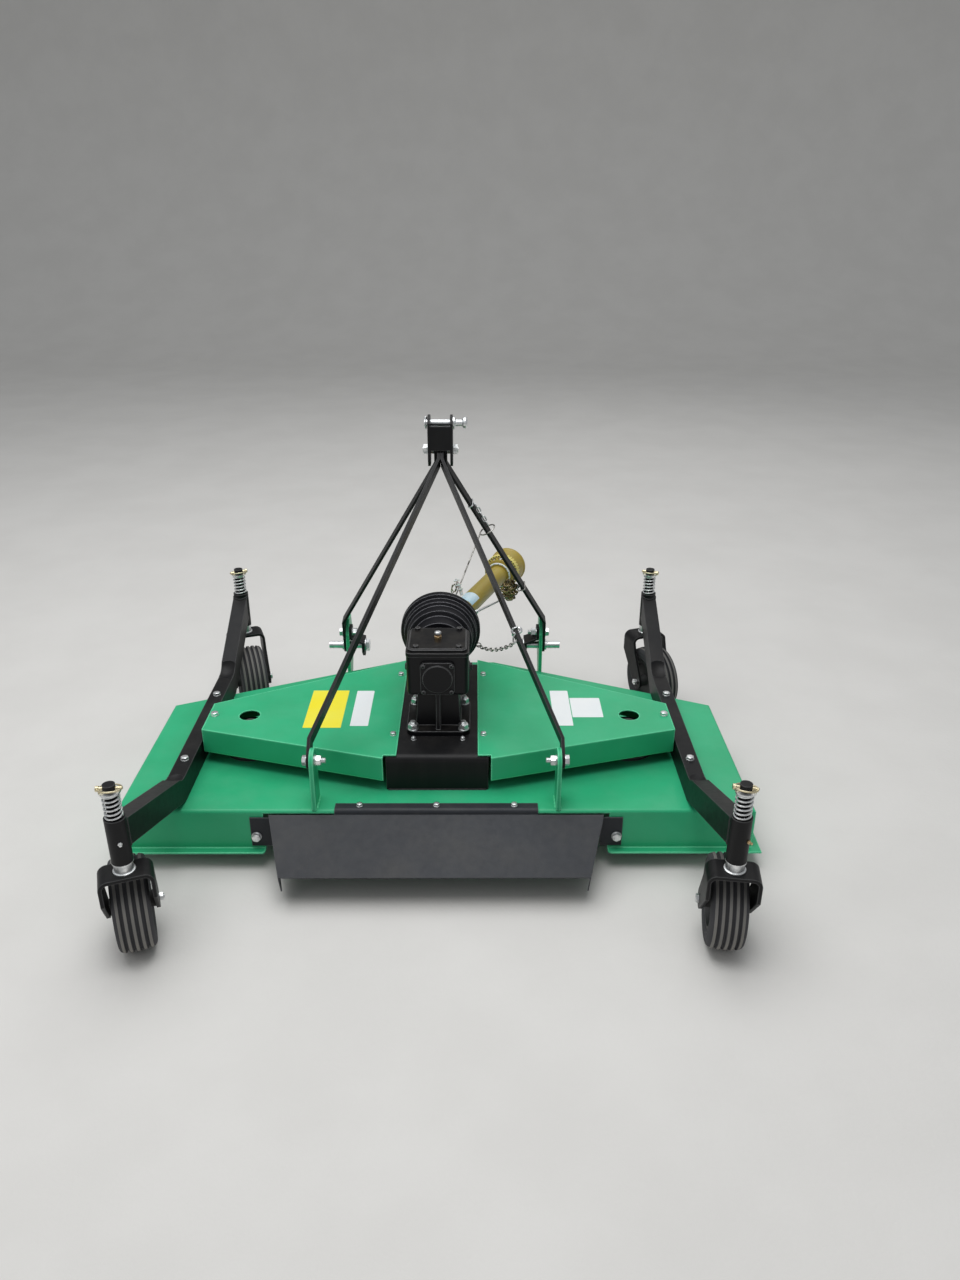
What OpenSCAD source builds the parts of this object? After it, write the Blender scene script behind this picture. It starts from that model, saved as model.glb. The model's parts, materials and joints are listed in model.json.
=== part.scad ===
// Rear-mounted finishing mower on four caster wheels, with its driveline.
// Millimetres. +X is the machine's right, +Y is forward to the tractor, +Z is up.
// The origin is on the ground, in the middle of the overall length and width.

/* [Deck] */
// Width of the deck over its side skirts
deck_w = 1510; // [1300:5:1700]
// Distance from the wheel base's middle back to the rear skirt
deck_rear = 258; // [255:1:300]
// Distance forward to the front corners
deck_corner = 256; // [230:1:290]
// Distance forward to the flat middle of the front
deck_front = 530; // [525:1:560]
// Half width of the flat middle of the front
deck_nose = 150; // [120:5:220]
// Outer radius of the deck's folded edges
fold_r = 8; // [6:1:12]
// Height of the deck's top over the ground
deck_top = 155; // [150:1:175]
// Height of the skirt
skirt_h = 110; // [90:1:120]
// Thickness of the deck's sheet
deck_sheet = 4; // [3:0.5:6]
// Width of the flange turned out along the foot of the skirt
flange_w = 20; // [10:1:30]
// Radius of the flange's free corners at the discharge
flange_r = 9; // [4:1:12]
// Half width of the open discharge in the rear skirt
discharge_half = 409; // [360:1:415]

/* [Belt covers] */
// Height of the covers' top over the deck
cover_h = 96; // [94:1:110]
// Thickness of the covers' sheet
cover_sheet = 3; // [2:0.5:4]
// Height of the covers' skirts
cover_skirt = 64; // [50:1:70]
// Distance from an outer spindle out to its cover's end
cover_reach = 106; // [72:1:112]
// Distance from the middle to a cover's inner edge
cover_inner = 98; // [90:1:105]
// Half length of a cover's outer end
cover_tip = 67; // [55:1:75]
// Place of the covers' tip along the machine
cover_tip_y = 22; // [15:1:30]
// Distance back to a cover's rear inner corner
cover_rear = 190; // [185:1:200]
// Distance forward to a cover's front inner corner
cover_front = 348; // [345:1:360]
// Diameter of the hole over each outer spindle
cover_hole_d = 52; // [40:1:60]

/* [Gearbox] */
// Width of the bridge plate that carries the gearbox
bridge_w = 247; // [240:1:260]
// Thickness of the bridge plate
bridge_sheet = 8; // [6:1:10]
// Distance back to the bridge's rear leg
bridge_rear = 170; // [165:1:175]
// Distance forward to the bridge's front leg
bridge_front = 336; // [330:1:340]
// Outer radius of the bridge's bends
bridge_bend_r = 16; // [12:1:24]
// Width of the gearbox body
gear_w = 152; // [140:1:170]
// Length of the gearbox body
gear_len = 138; // [120:1:150]
// Place of the gearbox along the machine
gear_y = 10; // [5:1:25]
// Height of the gearbox over its bridge
gear_h = 230; // [210:1:240]
// Height of the input shaft over the bridge
input_h = 167; // [155:1:175]
// Outer diameter of the input guard's mouth
bell_d = 210; // [190:1:220]
// Length of the input guard
bell_len = 118; // [100:1:125]

/* [Spindles and blades] */
// Gap from the tip of an outer blade to the deck's side
blade_gap = 13; // [10:1:25]
// Place of the outer spindles along the machine
spindle_y = 27; // [20:1:35]
// How far the middle spindle sits ahead of the outer ones
spindle_lead = 222; // [218:1:228]
// Length of a blade
blade_len = 500; // [480:1:510]
// Width of a blade
blade_w = 56; // [45:1:65]
// Thickness of a blade
blade_t = 6; // [4:1:8]
// Height of the blades over the ground
blade_z = 66; // [60:1:70]
// Diameter of a spindle's shaft
spindle_d = 30; // [25:1:35]
// Diameter of the spindle pulleys
pulley_d = 118; // [100:2:124]
// Diameter of the gearbox's pulley
drive_pulley_d = 216; // [200:2:224]

/* [Wheel arms and casters] */
// Gap from a belt cover's end out to the arm beside it
arm_gap = 4; // [2:1:12]
// Width of an arm's tube
arm_w = 40; // [30:1:50]
// Height of an arm's tube
arm_h = 60; // [50:1:70]
// Distance from the middle to the rear and the front caster pivots
pivot_y = 577; // [560:1:600]
// Distance back to the arm's rear bend
arm_bend_rear = 210; // [200:1:220]
// Distance forward to the arm's front bend
arm_bend_front = 317; // [300:1:330]
// Outer diameter of a pivot tube
tube_d = 43; // [38:1:48]
// Diameter of a caster's pivot pin
pin_d = 25; // [20:1:28]
// Height of the pivot tube's foot over the ground
tube_foot = 260; // [258:1:280]
// Length of a pivot tube
tube_len = 105; // [95:1:120]
// How far the wheel trails its pivot
trail = 64; // [55:1:70]
// Width of the flat bar that a fork is bent from
fork_bar = 60; // [50:1:66]
// Thickness of a fork's bar
fork_t = 8; // [6:1:10]
// Clear width inside a fork
fork_inner = 94; // [94:1:100]
// Outer diameter of a tyre
tyre_d = 204; // [190:1:206]
// Width of a tyre
tyre_w = 78; // [70:1:86]
// Diameter of a hub
hub_d = 126; // [110:1:140]
// Diameter of an axle bolt
axle_d = 12; // [12:1:20]

/* [Hitch] */
// Distance from the middle to the welded lugs
lug_x = 287; // [280:1:295]
// Thickness of a lug
lug_t = 10; // [8:1:12]
// Height of the rear lugs' bolts over the deck
rear_bolt_h = 120; // [110:1:125]
// Height of the front lugs' brace bolts over the deck
front_bolt_h = 122; // [115:1:130]
// Distance forward to the lower link pins
lower_pin_y = 491; // [485:1:510]
// Height of the lower link pins over the deck
lower_pin_h = 76; // [68:1:82]
// Diameter of a lower link pin
lower_pin_d = 22; // [20:0.5:24]
// Clear gap for the tractor's lower link
lower_gap = 36; // [35:1:40]
// Height of the mast's bolt over the ground
mast_z = 850; // [800:5:900]
// Distance forward to the mast's bolt
mast_y = 400; // [380:5:420]
// Width of the braces' flat bar
brace_w = 40; // [30:1:44]
// Thickness of the braces' flat bar
brace_t = 8; // [6:1:8]
// Clear gap for the tractor's top link
top_gap = 52; // [45:1:56]
// Diameter of the top link pin
top_pin_d = 19; // [18:0.5:20]
// Distance from the mast's bolt up to the top link pin
top_pin_rise = 70; // [65:1:80]

/* [Driveline] */
// Sideways angle at which the driveline lies
shaft_yaw = 20.3; // [0:0.1:24]
// Downward angle at which the driveline lies
shaft_dip = 1.3; // [0:0.1:4]
// Distance from the gearbox joint to the far joint
shaft_len = 545; // [530:5:580]
// Outer diameter of the driveline's guard tube
guard_d = 57; // [54:1:60]
// Diameter of the guard cones' mouths
cone_d = 112; // [104:1:120]

/* [Hidden] */

$fn = 48;
// Gap between pieces that seat on each other along a curve
seat = 0.3;
// Radial clearance of a running fit
run = 0.05;
// Overlap that makes a cut pass right through
cut = 1;

deck_half = deck_w / 2;
skirt_foot = deck_top - skirt_h;
spindle_x = deck_half - deck_sheet - blade_gap - blade_len / 2;
cover_end = spindle_x + cover_reach;
arm_x = cover_end + arm_gap + arm_w / 2;
nose_a = atan((deck_front - deck_corner) / (deck_half - deck_nose));
cover_top = deck_top + cover_h;
bridge_top = cover_top - cover_sheet;
input_z = bridge_top + input_h;

// Casters: side, end of the machine, and the swivel angle at which each one stands
CASTERS = [["rear_left", -1, -1, 20], ["rear_right", 1, -1, -8],
    ["front_left", -1, 1, 200], ["front_right", 1, 1, 199]];
// Spindles: name, sideways place in spindle pitches, lead over the outer row
SPINDLES = [["left", -1, 0], ["middle", 0, 1], ["right", 1, 0]];

axle_z = tyre_d / 2;
fork_top = tube_foot - 25;
fork_half = fork_inner / 2 + fork_t;

function caster_at(name) = [for (c = CASTERS) if (c[0] == name) c][0];
function spindle_at(name) = [for (s = SPINDLES) if (s[0] == name) s][0];

fork_bend_r = 20;
nose_t = 11;
yoke_len = 62;
yoke_r = 29;
shaft_y = gear_y + gear_len / 2 + nose_t + bell_len - 25;
// The machine reaches from the rearmost fork corner to the driveline's far end
shaft_ahead = cos(shaft_dip) * cos(shaft_yaw);
front_reach = shaft_y + (shaft_len + yoke_len) * shaft_ahead + yoke_r * sqrt(1 - shaft_ahead * shaft_ahead);
rear_reach = pivot_y + fork_half * sin(CASTERS[0][3]) + fork_bar / 2 * cos(CASTERS[0][3]);
middle_y = (front_reach - rear_reach) / 2;

module place() { translate([0, -middle_y, 0]) children(); }
// Turns +Z to the direction d
module aim(d) { rotate([0, acos(d[2] / norm(d)), atan2(d[1], d[0])]) children(); }
module rod(p, q, d) { translate(p) aim(q - p) cylinder(h = norm(q - p), d = d); }
module both() { children(); mirror([1, 0, 0]) children(); }
module hole_x(d, l) { rotate([0, 90, 0]) cylinder(h = l, d = d, center = true); }
module rounded(w, l, r) {
    square([w - 2 * r, l], center = true);
    square([w, l - 2 * r], center = true);
    for (x = [-1, 1], y = [-1, 1]) translate([x * (w / 2 - r), y * (l / 2 - r)]) circle(r = r);
}
module hole_y(d, l) { rotate([90, 0, 0]) cylinder(h = l, d = d, center = true); }

// Outline of the deck grown outward by d
function deck_outline(d) = let (
        side = deck_half + d,
        slope_y = deck_corner + d * (1 - sin(nose_a)) / cos(nose_a),
        nose_x = deck_nose + d * (1 - cos(nose_a)) / sin(nose_a))
    [[-side, -deck_rear - d], [side, -deck_rear - d], [side, slope_y], [nose_x, deck_front + d],
     [-nose_x, deck_front + d], [-side, slope_y]];

module discharge_cut() {
    depth = flange_w + deck_sheet + 2 * cut;
    translate([0, -deck_rear - flange_w - cut, skirt_foot - cut]) {
        translate([-discharge_half, 0, 0]) cube([2 * discharge_half, depth, skirt_h - fold_r + cut]);
        both() translate([discharge_half, cut, 0]) linear_extrude(deck_sheet + 2 * cut) difference() {
            translate([-cut, -cut]) square(flange_r + cut);
            translate([flange_r, flange_r]) circle(r = flange_r);
        }
    }
}

housing_hole_d = 112;
housing_flange_d = housing_hole_d + 26;
function spindle_pos(s) = [s[1] * spindle_x, spindle_y + s[2] * spindle_lead, 0];

fold_bite = 0.15;

// fold_bite carries each fold's arc past the wall's plane, so that the two meet at a clear angle.
// Block in the deck's outline grown by d, with its top edges rounded to r as the sheet is folded
module folded_block(d, r, z0, z1) {
    line = deck_outline(d);
    difference() {
        translate([0, 0, z0]) linear_extrude(z1 - z0) polygon(line);
        for (i = [0 : len(line) - 1]) let (k = (i + 1) % len(line), along = line[k] - line[i])
            translate([line[i][0], line[i][1], z1]) rotate([0, 0, atan2(along[1], along[0])])
            translate([-2 * fold_r, 0, 0]) rotate([90, 0, 90]) linear_extrude(norm(along) + 4 * fold_r) difference() {
                translate([-cut, -r]) square(r + cut);
                translate([r, -r]) circle(r = r + fold_bite);
            }
    }
}

module deck() {
    color("mediumseagreen") place() difference() {
        union() {
            folded_block(0, fold_r, skirt_foot, deck_top);
            translate([0, 0, skirt_foot]) linear_extrude(deck_sheet) polygon(deck_outline(flange_w));
        }
        folded_block(-deck_sheet, fold_r - deck_sheet, skirt_foot - cut, deck_top - deck_sheet);
        discharge_cut();
        for (s = SPINDLES) translate(spindle_pos(s) + [0, 0, deck_top - deck_sheet - cut])
            cylinder(h = deck_sheet + 2 * cut, d = housing_hole_d);
    }
}

lug_len = 60;
rear_lug_y = -deck_rear + lug_len / 2;
front_lug_y = deck_front - (lug_x - deck_nose) * tan(nose_a);
brace_bolt_y = front_lug_y + 14;
lug_hole_d = 17;
lug_back = 6;

module lug_plate() { rotate([90, 0, 90]) linear_extrude(lug_t, center = true) children(); }

module hitch_lugs() {
    rear_tip = deck_top + rear_bolt_h;
    front_tip = deck_top + front_bolt_h;
    pin_z = deck_top + lower_pin_h;
    color("mediumseagreen") place() both() difference() {
        translate([lug_x, 0, 0]) {
            lug_plate() {
                translate([rear_lug_y - lug_len / 2, deck_top]) square([lug_len, rear_bolt_h]);
                translate([rear_lug_y, rear_tip]) circle(d = lug_len);
            }
            lug_plate() polygon([[front_lug_y - lug_back, deck_top], [front_lug_y - lug_back + 3, front_tip - 2],
                [brace_bolt_y + 8, front_tip + 40], [brace_bolt_y + 48, front_tip + 40],
                [lower_pin_y + 61, pin_z + 14], [lower_pin_y + 61, pin_z - 31],
                [front_lug_y + 16, skirt_foot + 50], [front_lug_y - lug_back, skirt_foot + 50]]);
        }
        translate([lug_x, rear_lug_y, rear_tip]) hole_x(lug_hole_d, 2 * lug_t);
        translate([lug_x, brace_bolt_y, front_tip]) hole_x(lug_hole_d, 2 * lug_t);
        translate([lug_x, lower_pin_y, pin_z]) hole_x(lower_pin_d + 2 * seat, 2 * lug_t);
        linear_extrude(deck_top) polygon(deck_outline(0));
    }
}

guard_t = 3;
guard_top_z = deck_top - fold_r - 4;
guard_drop = 68;
guard_run = 145;
guard_top_half = discharge_half - 14;
guard_foot_half = guard_top_half - 42;
guard_slope = atan(guard_drop / guard_run);
guard_len = sqrt(guard_drop * guard_drop + guard_run * guard_run);
guard_taper = atan((guard_top_half - guard_foot_half) / guard_len);
tab_half = 240;
tab_len = 26;
foot_in = 6;
foot_out = discharge_half + 32;
foot_h = 80;
foot_z = skirt_foot + 12;
guard_gap = 0.3;

// Sheet in the guard's slope, its origin at the middle of the top edge
module in_slope() { translate([0, -deck_rear - guard_t, guard_top_z]) rotate([180 + guard_slope, 0, 0]) children(); }

module guard_side() {
    span = guard_len / cos(guard_taper);
    rotate([0, 0, guard_taper]) translate([-guard_t, 0, 0]) rotate([90, 0, 90]) linear_extrude(guard_t)
        polygon([[0, 0], [span, 0], [span + 16, gusset_drop], [36, gusset_back], [0, gusset_back]]);
}
gusset_drop = 36;
gusset_back = 78;

module discharge_guard() {
    fold = fold_r + guard_gap + guard_t;
    color("black") place() union() {
        translate([-tab_half, -deck_rear + fold_r, deck_top + guard_gap]) cube([2 * tab_half, tab_len - fold_r, guard_t]);
        translate([-tab_half, -deck_rear + fold_r, deck_top - fold_r]) rotate([90, 0, 90]) linear_extrude(2 * tab_half)
            intersection() {
                difference() {
                    circle(r = fold);
                    circle(r = fold - guard_t);
                }
                translate([-fold, 0]) square(fold);
            }
        translate([-tab_half, -deck_rear - guard_t - guard_gap, guard_top_z - guard_t])
            cube([2 * tab_half, guard_t, deck_top - fold_r - guard_top_z + guard_t]);
        in_slope() mirror([0, 0, 1]) linear_extrude(guard_t) polygon([[-guard_top_half, 0], [guard_top_half, 0],
            [guard_foot_half, guard_len], [-guard_foot_half, guard_len]]);
        both() intersection() {
            in_slope() translate([guard_top_half, 0, -guard_t]) guard_side();
            translate([0, -deck_rear - guard_gap - 2 * guard_run, 0])
                cube([deck_half, 2 * guard_run, deck_top]);
        }
        both() difference() {
            translate([guard_top_half - foot_in, -deck_rear - guard_t - guard_gap, foot_z])
                cube([foot_out - guard_top_half + foot_in, guard_t, foot_h]);
            translate([foot_bolt_x, -deck_rear, foot_bolt_z]) hole_y(foot_hole_d, 20);
        }
    }
}
foot_bolt_x = discharge_half + 19;
foot_bolt_z = skirt_foot + 40;
foot_hole_d = 11;

arm_mid_z = deck_top + arm_h / 2;
tube_top = tube_foot + tube_len;
arm_tip_z = tube_top - arm_h / 2 / cos(30) - 3;
dent_r = 46;
dent_depth = 3;

// Side outline of an arm between its two pivots
function arm_line() = [[-pivot_y, arm_tip_z], [-arm_bend_rear, arm_mid_z], [arm_bend_front, arm_mid_z],
    [pivot_y, arm_tip_z]];
function arm_edge(v) = let (p = arm_line(), slope_r = atan2(p[0][1] - p[1][1], p[1][0] - p[0][0]),
        slope_f = atan2(p[3][1] - p[2][1], p[3][0] - p[2][0]))
    [[p[0][0], p[0][1] + v / cos(slope_r)], [p[1][0] + v * tan(slope_r / 2), p[1][1] + v],
     [p[2][0] - v * tan(slope_f / 2), p[2][1] + v], [p[3][0], p[3][1] + v / cos(slope_f)]];

module arm_side(v) {
    a = arm_edge(-v);
    b = arm_edge(v);
    polygon([a[0], a[1], a[2], a[3], b[3], b[2], b[1], b[0]]);
}

module wheel_arms() {
    color("black") place() both() translate([arm_x, 0, 0]) difference() {
        union() {
            rotate([90, 0, 90]) linear_extrude(arm_w, center = true) arm_side(arm_h / 2);
            for (end = [-1, 1]) translate([0, end * pivot_y, tube_foot]) cylinder(h = tube_len, d = tube_d);
        }
        for (end = [-1, 1]) translate([0, end * pivot_y, 0]) {
            translate([0, 0, tube_foot - cut]) cylinder(h = tube_len + 2 * cut, d = pin_d + 2 * run);
            difference() {
                translate([-arm_w, end < 0 ? -arm_w : 0, tube_foot - 50]) cube([2 * arm_w, arm_w, tube_len + 100]);
                translate([0, 0, tube_foot]) cylinder(h = tube_len, d = tube_d);
            }
        }
        // Dents pressed into the tube where it is bent
        for (y = [-arm_bend_rear, arm_bend_front]) translate([0, y, arm_mid_z + arm_h / 2 + dent_r - dent_depth])
            sphere(r = dent_r);
    }
}

// Outline of the right-hand belt cover grown outward by d, inner edge fixed
cover_rear_a = atan((cover_rear - (cover_tip - cover_tip_y)) / (cover_end - cover_inner - 36));
cover_front_a = atan((cover_front - (cover_tip + cover_tip_y)) / (cover_end - cover_inner - 39));
function cover_outline(d) = [[cover_inner, -cover_rear + d / cos(cover_rear_a) ],
    [cover_end - d, cover_tip_y - cover_tip + d * (1 + sin(cover_rear_a)) / cos(cover_rear_a)],
    [cover_end - d, cover_tip_y + cover_tip - d * (1 + sin(cover_front_a)) / cos(cover_front_a)],
    [cover_inner, cover_front - d / cos(cover_front_a)]];

module belt_covers() {
    color("mediumseagreen") place() both() difference() {
        translate([0, 0, cover_top - cover_skirt]) linear_extrude(cover_skirt) polygon(cover_outline(0));
        translate([0, 0, cover_top - cover_skirt - cut]) linear_extrude(cover_skirt - cover_sheet + cut)
            polygon(cover_outline(cover_sheet));
        translate([0, -cover_rear - 40, cover_top - cover_skirt - cut])
            cube([bridge_w / 2 + 6, cover_front + cover_rear + 80, cover_skirt - cover_sheet + cut]);
        translate([0, -cover_rear - 40, cover_top - cover_sheet - cut]) cube([bridge_w / 2 + 6, 64, cover_sheet + 2 * cut]);
        translate([spindle_x, spindle_y, cover_top - cover_sheet - cut]) cylinder(h = cover_sheet + 2 * cut, d = cover_hole_d);
    }
}

post_t = 3;
post_w = 40;
post_x = cover_end - 7;
post_tab = 40;
post_foot = post_x - spindle_x - housing_flange_d / 2 - 4;

module cover_posts() {
    color("black") place() both() translate([0, cover_tip_y - post_w / 2, 0]) {
        translate([post_x - post_t, 0, deck_top]) cube([post_t, post_w, cover_h - cover_sheet]);
        translate([post_x - post_tab, 0, cover_top - cover_sheet - post_t]) cube([post_tab, post_w, post_t]);
        translate([post_x - post_foot, 0, deck_top]) cube([post_foot, post_w, post_t]);
    }
}

module gearbox_bridge() {
    leg = bridge_top - deck_top;
    span = bridge_rear + bridge_front;
    color("black") place() difference() {
        translate([-bridge_w / 2, -bridge_rear, deck_top]) rotate([90, 0, 90])
            linear_extrude(bridge_w) difference() {
                bridge_side(span, leg, bridge_bend_r);
                translate([bridge_sheet, -cut]) bridge_side(span - 2 * bridge_sheet, leg - bridge_sheet + cut,
                    bridge_bend_r - bridge_sheet);
            }
        translate([0, gear_y, bridge_top - bridge_sheet - cut]) cylinder(h = bridge_sheet + 2 * cut, d = output_hole_d);
    }
}

module bridge_side(span, leg, r) {
    square([span, leg - r]);
    translate([r, 0]) square([span - 2 * r, leg]);
    for (x = [r, span - r]) translate([x, leg - r]) circle(r = r);
}

output_hole_d = 90;
gear_foot_t = 14;
gear_foot_w = 158;
gear_foot_len = 170;
gear_neck_w = 112;
gear_neck_len = 104;
gear_body_z = bridge_top + 107;
gear_lid_t = 9;
gear_r = 14;
rib_t = 10;
stub_d = 35;
nose_d = 110;

// Tapered block with straight sides from w0 by l0 at its foot to w1 by l1 at height h
module taper(w0, l0, w1, l1, h) {
    intersection() {
        rotate([90, 0, 0]) linear_extrude(max(l0, l1), center = true)
            polygon([[-w0 / 2, 0], [w0 / 2, 0], [w1 / 2, h], [-w1 / 2, h]]);
        rotate([90, 0, 90]) linear_extrude(max(w0, w1), center = true)
            polygon([[-l0 / 2, 0], [l0 / 2, 0], [l1 / 2, h], [-l1 / 2, h]]);
    }
}

// Cast block rounded along all its edges, standing on its bottom
module cast_block(w, l, h, r) {
    translate([0, 0, h / 2]) intersection() {
        linear_extrude(h, center = true) rounded(w, l, r);
        rotate([90, 0, 0]) linear_extrude(l, center = true) rounded(w, h, r);
        rotate([90, 0, 90]) linear_extrude(w, center = true) rounded(l, h, r / 2);
    }
}

module gearbox_housing() {
    body_top = bridge_top + gear_h - gear_lid_t;
    neck_z = bridge_top + gear_foot_t;
    neck_h = gear_body_z - neck_z + gear_r;
    color("black") place() translate([0, gear_y, 0]) union() {
        translate([0, 0, bridge_top]) linear_extrude(gear_foot_t) rounded(gear_foot_w, gear_foot_len, 22);
        translate([0, 0, neck_z]) taper(gear_neck_w, gear_neck_len, gear_neck_w - 14, gear_neck_len - 12, neck_h);
        // Ribs from the foot up to the body, behind and ahead
        translate([0, 0, neck_z]) taper(rib_t, gear_foot_len - 20, rib_t, gear_len - 8, neck_h);
        translate([0, 0, gear_body_z]) cast_block(gear_w, gear_len, body_top - gear_body_z, gear_r);
        translate([0, 0, body_top - 10]) linear_extrude(10) rounded(gear_w + 2, gear_len + 2, gear_r);
        translate([0, gear_len / 2 + (nose_t - cut) / 2, input_z]) hole_y(nose_d, nose_t + cut);
        translate([0, (shaft_y - gear_y - knuckle_r + gear_len / 2) / 2, input_z])
            hole_y(stub_d, shaft_y - gear_y - knuckle_r - gear_len / 2 - 2 * seat);
    }
}

back_w = 83;
back_h = 86;
back_boss_d = 72;
back_drop = 11;

module gearbox_covers() {
    color("black") place() translate([0, gear_y, 0]) {
        translate([0, 0, bridge_top + gear_h - gear_lid_t]) union() {
            linear_extrude(gear_lid_t - 3) rounded(gear_w - 8, gear_len - 12, gear_r);
            linear_extrude(gear_lid_t) rounded(gear_w - 14, gear_len - 18, gear_r - 3);
        }
        translate([0, -gear_len / 2, input_z - back_drop]) rotate([90, 0, 0]) union() {
            linear_extrude(8) rounded(back_w, back_h, 12);
            cylinder(h = 12, d = back_boss_d);
        }
    }
}

// Input guard: place along its length and radius of its steps, as shares
bell_y = gear_y + gear_len / 2 + nose_t;
BELL_STEPS = [[0, 0.64], [0.3, 0.68], [0.34, 0.8], [0.58, 0.82], [0.62, 0.9], [0.8, 0.91], [0.84, 1], [1, 1]];
bell_wall = 4;

module input_bell() {
    r = bell_d / 2;
    last = len(BELL_STEPS) - 1;
    color("black") place() translate([0, bell_y, input_z]) rotate([-90, 0, 0]) rotate_extrude() difference() {
        polygon(concat([[input_bore, 0]], [for (s = BELL_STEPS) [s[1] * r, s[0] * bell_len]], [[input_bore, bell_len]]));
        polygon(concat([[0, bell_wall]], [for (s = BELL_STEPS) if (s[0] > 0) [s[1] * r - bell_wall, s[0] * bell_len]],
            [[BELL_STEPS[last][1] * r - bell_wall, bell_len + cut], [0, bell_len + cut]]));
    }
}
input_bore = 22;

// Bent brace in its own plane: u is sideways, v runs from the lug's bolt to the mast's bolt.
// tail is how far the bar's round end is centred beyond the lug's bolt
module brace_shape(u0, u1, l, straight0, straight1, tail) {
    c = [[u0, -tail - brace_w / 2], [u0, straight0], [u1, l - straight1], [u1, l + brace_w / 2]];
    t = brace_t / 2;
    k = t * tan(atan2(u0 - u1, l - straight1 - straight0) / 2);
    polygon([c[0] + [-t, 0], c[1] + [-t, -k], c[2] + [-t, -k], c[3] + [-t, 0],
        c[3] + [t, 0], c[2] + [t, k], c[1] + [t, k], c[0] + [t, 0]]);
}

module brace_face(l, tail) {
    translate([-tail, -brace_w / 2]) square([l + tail, brace_w]);
    for (v = [-tail, l]) translate([v, 0]) circle(d = brace_w);
}

// Brace from a bolt at y0, z0 to the mast's bolt
module brace(y0, z0, u0, u1, straight0, tail) {
    dy = mast_y - y0;
    dz = mast_z - z0;
    l = sqrt(dy * dy + dz * dz);
    translate([0, y0, z0]) rotate([atan2(dz, dy), 0, 0]) difference() {
        intersection() {
            linear_extrude(brace_w, center = true) brace_shape(u0, u1, l, straight0, brace_straight, tail);
            rotate([90, 0, 90]) linear_extrude(2 * u0, center = false) brace_face(l, tail);
        }
        hole_x(lug_hole_d, 3 * u0);
        translate([0, l, 0]) hole_x(mast_bolt_d + 2 * seat, 3 * u0);
    }
}

brace_straight = 42;
rear_straight = 48;
front_straight = 42;
front_tail = 46;
mast_bolt_d = 16;
brace_gap = 0.5;
rear_top_u = brace_t / 2 + brace_gap;
front_top_u = rear_top_u + brace_t + brace_gap;
brace_foot_u = lug_x + lug_t / 2 + brace_t / 2;

module front_braces() {
    color("black") place() both() difference() {
        brace(brace_bolt_y, deck_top + front_bolt_h, brace_foot_u, front_top_u, front_straight, front_tail);
        translate([brace_foot_u, lower_pin_y, deck_top + lower_pin_h]) hole_x(lower_pin_d + 2 * seat, 4 * brace_t);
    }
}

module rear_braces() {
    color("black") place() both()
        brace(rear_lug_y, deck_top + rear_bolt_h, brace_foot_u, rear_top_u, rear_straight, 0);
}

ear_t = 7;
ear_back = 34;
ear_front = 24;
ear_drop = 40;
ear_rise = 20;
web_foot = 4;
web_gap = 2;

module top_clevis() {
    h = top_pin_rise + ear_rise + ear_drop;
    color("black") place() translate([0, mast_y, mast_z]) difference() {
        union() {
            both() translate([top_gap / 2, 0, 0]) rotate([90, 0, 90]) linear_extrude(ear_t)
                polygon([[-ear_back + 12, -ear_drop], [ear_front - 12, -ear_drop], [ear_front, -ear_drop + 16],
                    [ear_front, top_pin_rise + ear_rise - 14], [ear_front - 14, top_pin_rise + ear_rise],
                    [-ear_back + 14, top_pin_rise + ear_rise], [-ear_back, top_pin_rise + ear_rise - 14],
                    [-ear_back, -ear_drop + 16]]);
            translate([-top_gap / 2 - cut, -ear_back, web_foot])
                cube([top_gap + 2 * cut, ear_t, top_pin_rise - web_gap - web_foot]);
        }
        hole_x(mast_bolt_d + 2 * run, 2 * top_gap);
        translate([0, 0, top_pin_rise]) hole_x(top_pin_d + 2 * run, 2 * top_gap);
    }
}

module clevis_bolt() {
    reach = top_gap / 2 + ear_t;
    bush_in = front_top_u + brace_t / 2 + brace_gap;
    bush_out = top_gap / 2 - brace_gap;
    color("silver") place() translate([0, mast_y, mast_z]) {
        hole_x(mast_bolt_d, 2 * reach + 28);
        both() {
            translate([reach + seat + 6, 0, 0]) rotate([0, 90, 0]) cylinder(h = 12, d = 27, center = true, $fn = 6);
            translate([(bush_in + bush_out) / 2, 0, 0]) hole_x(24, bush_out - bush_in);
        }
    }
}

module top_pin() {
    reach = top_gap / 2 + ear_t;
    color("silver") place() translate([0, mast_y, mast_z + top_pin_rise]) {
        translate([6, 0, 0]) hole_x(top_pin_d, 2 * reach + 30);
        // Turned grip at the right-hand end: flange, waist and knob
        translate([reach + seat, 0, 0]) rotate([0, 90, 0]) rotate_extrude() polygon([[0, 0], [17, 0], [17, 4], [9, 8],
            [9, 24], [15, 28], [16, 34], [12, 38], [0, 38]]);
    }
}

cheek_t = 8;
cheek_x = lug_x - lug_t / 2 - lower_gap - cheek_t / 2;
cheek_span = 4 * lower_gap;

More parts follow.
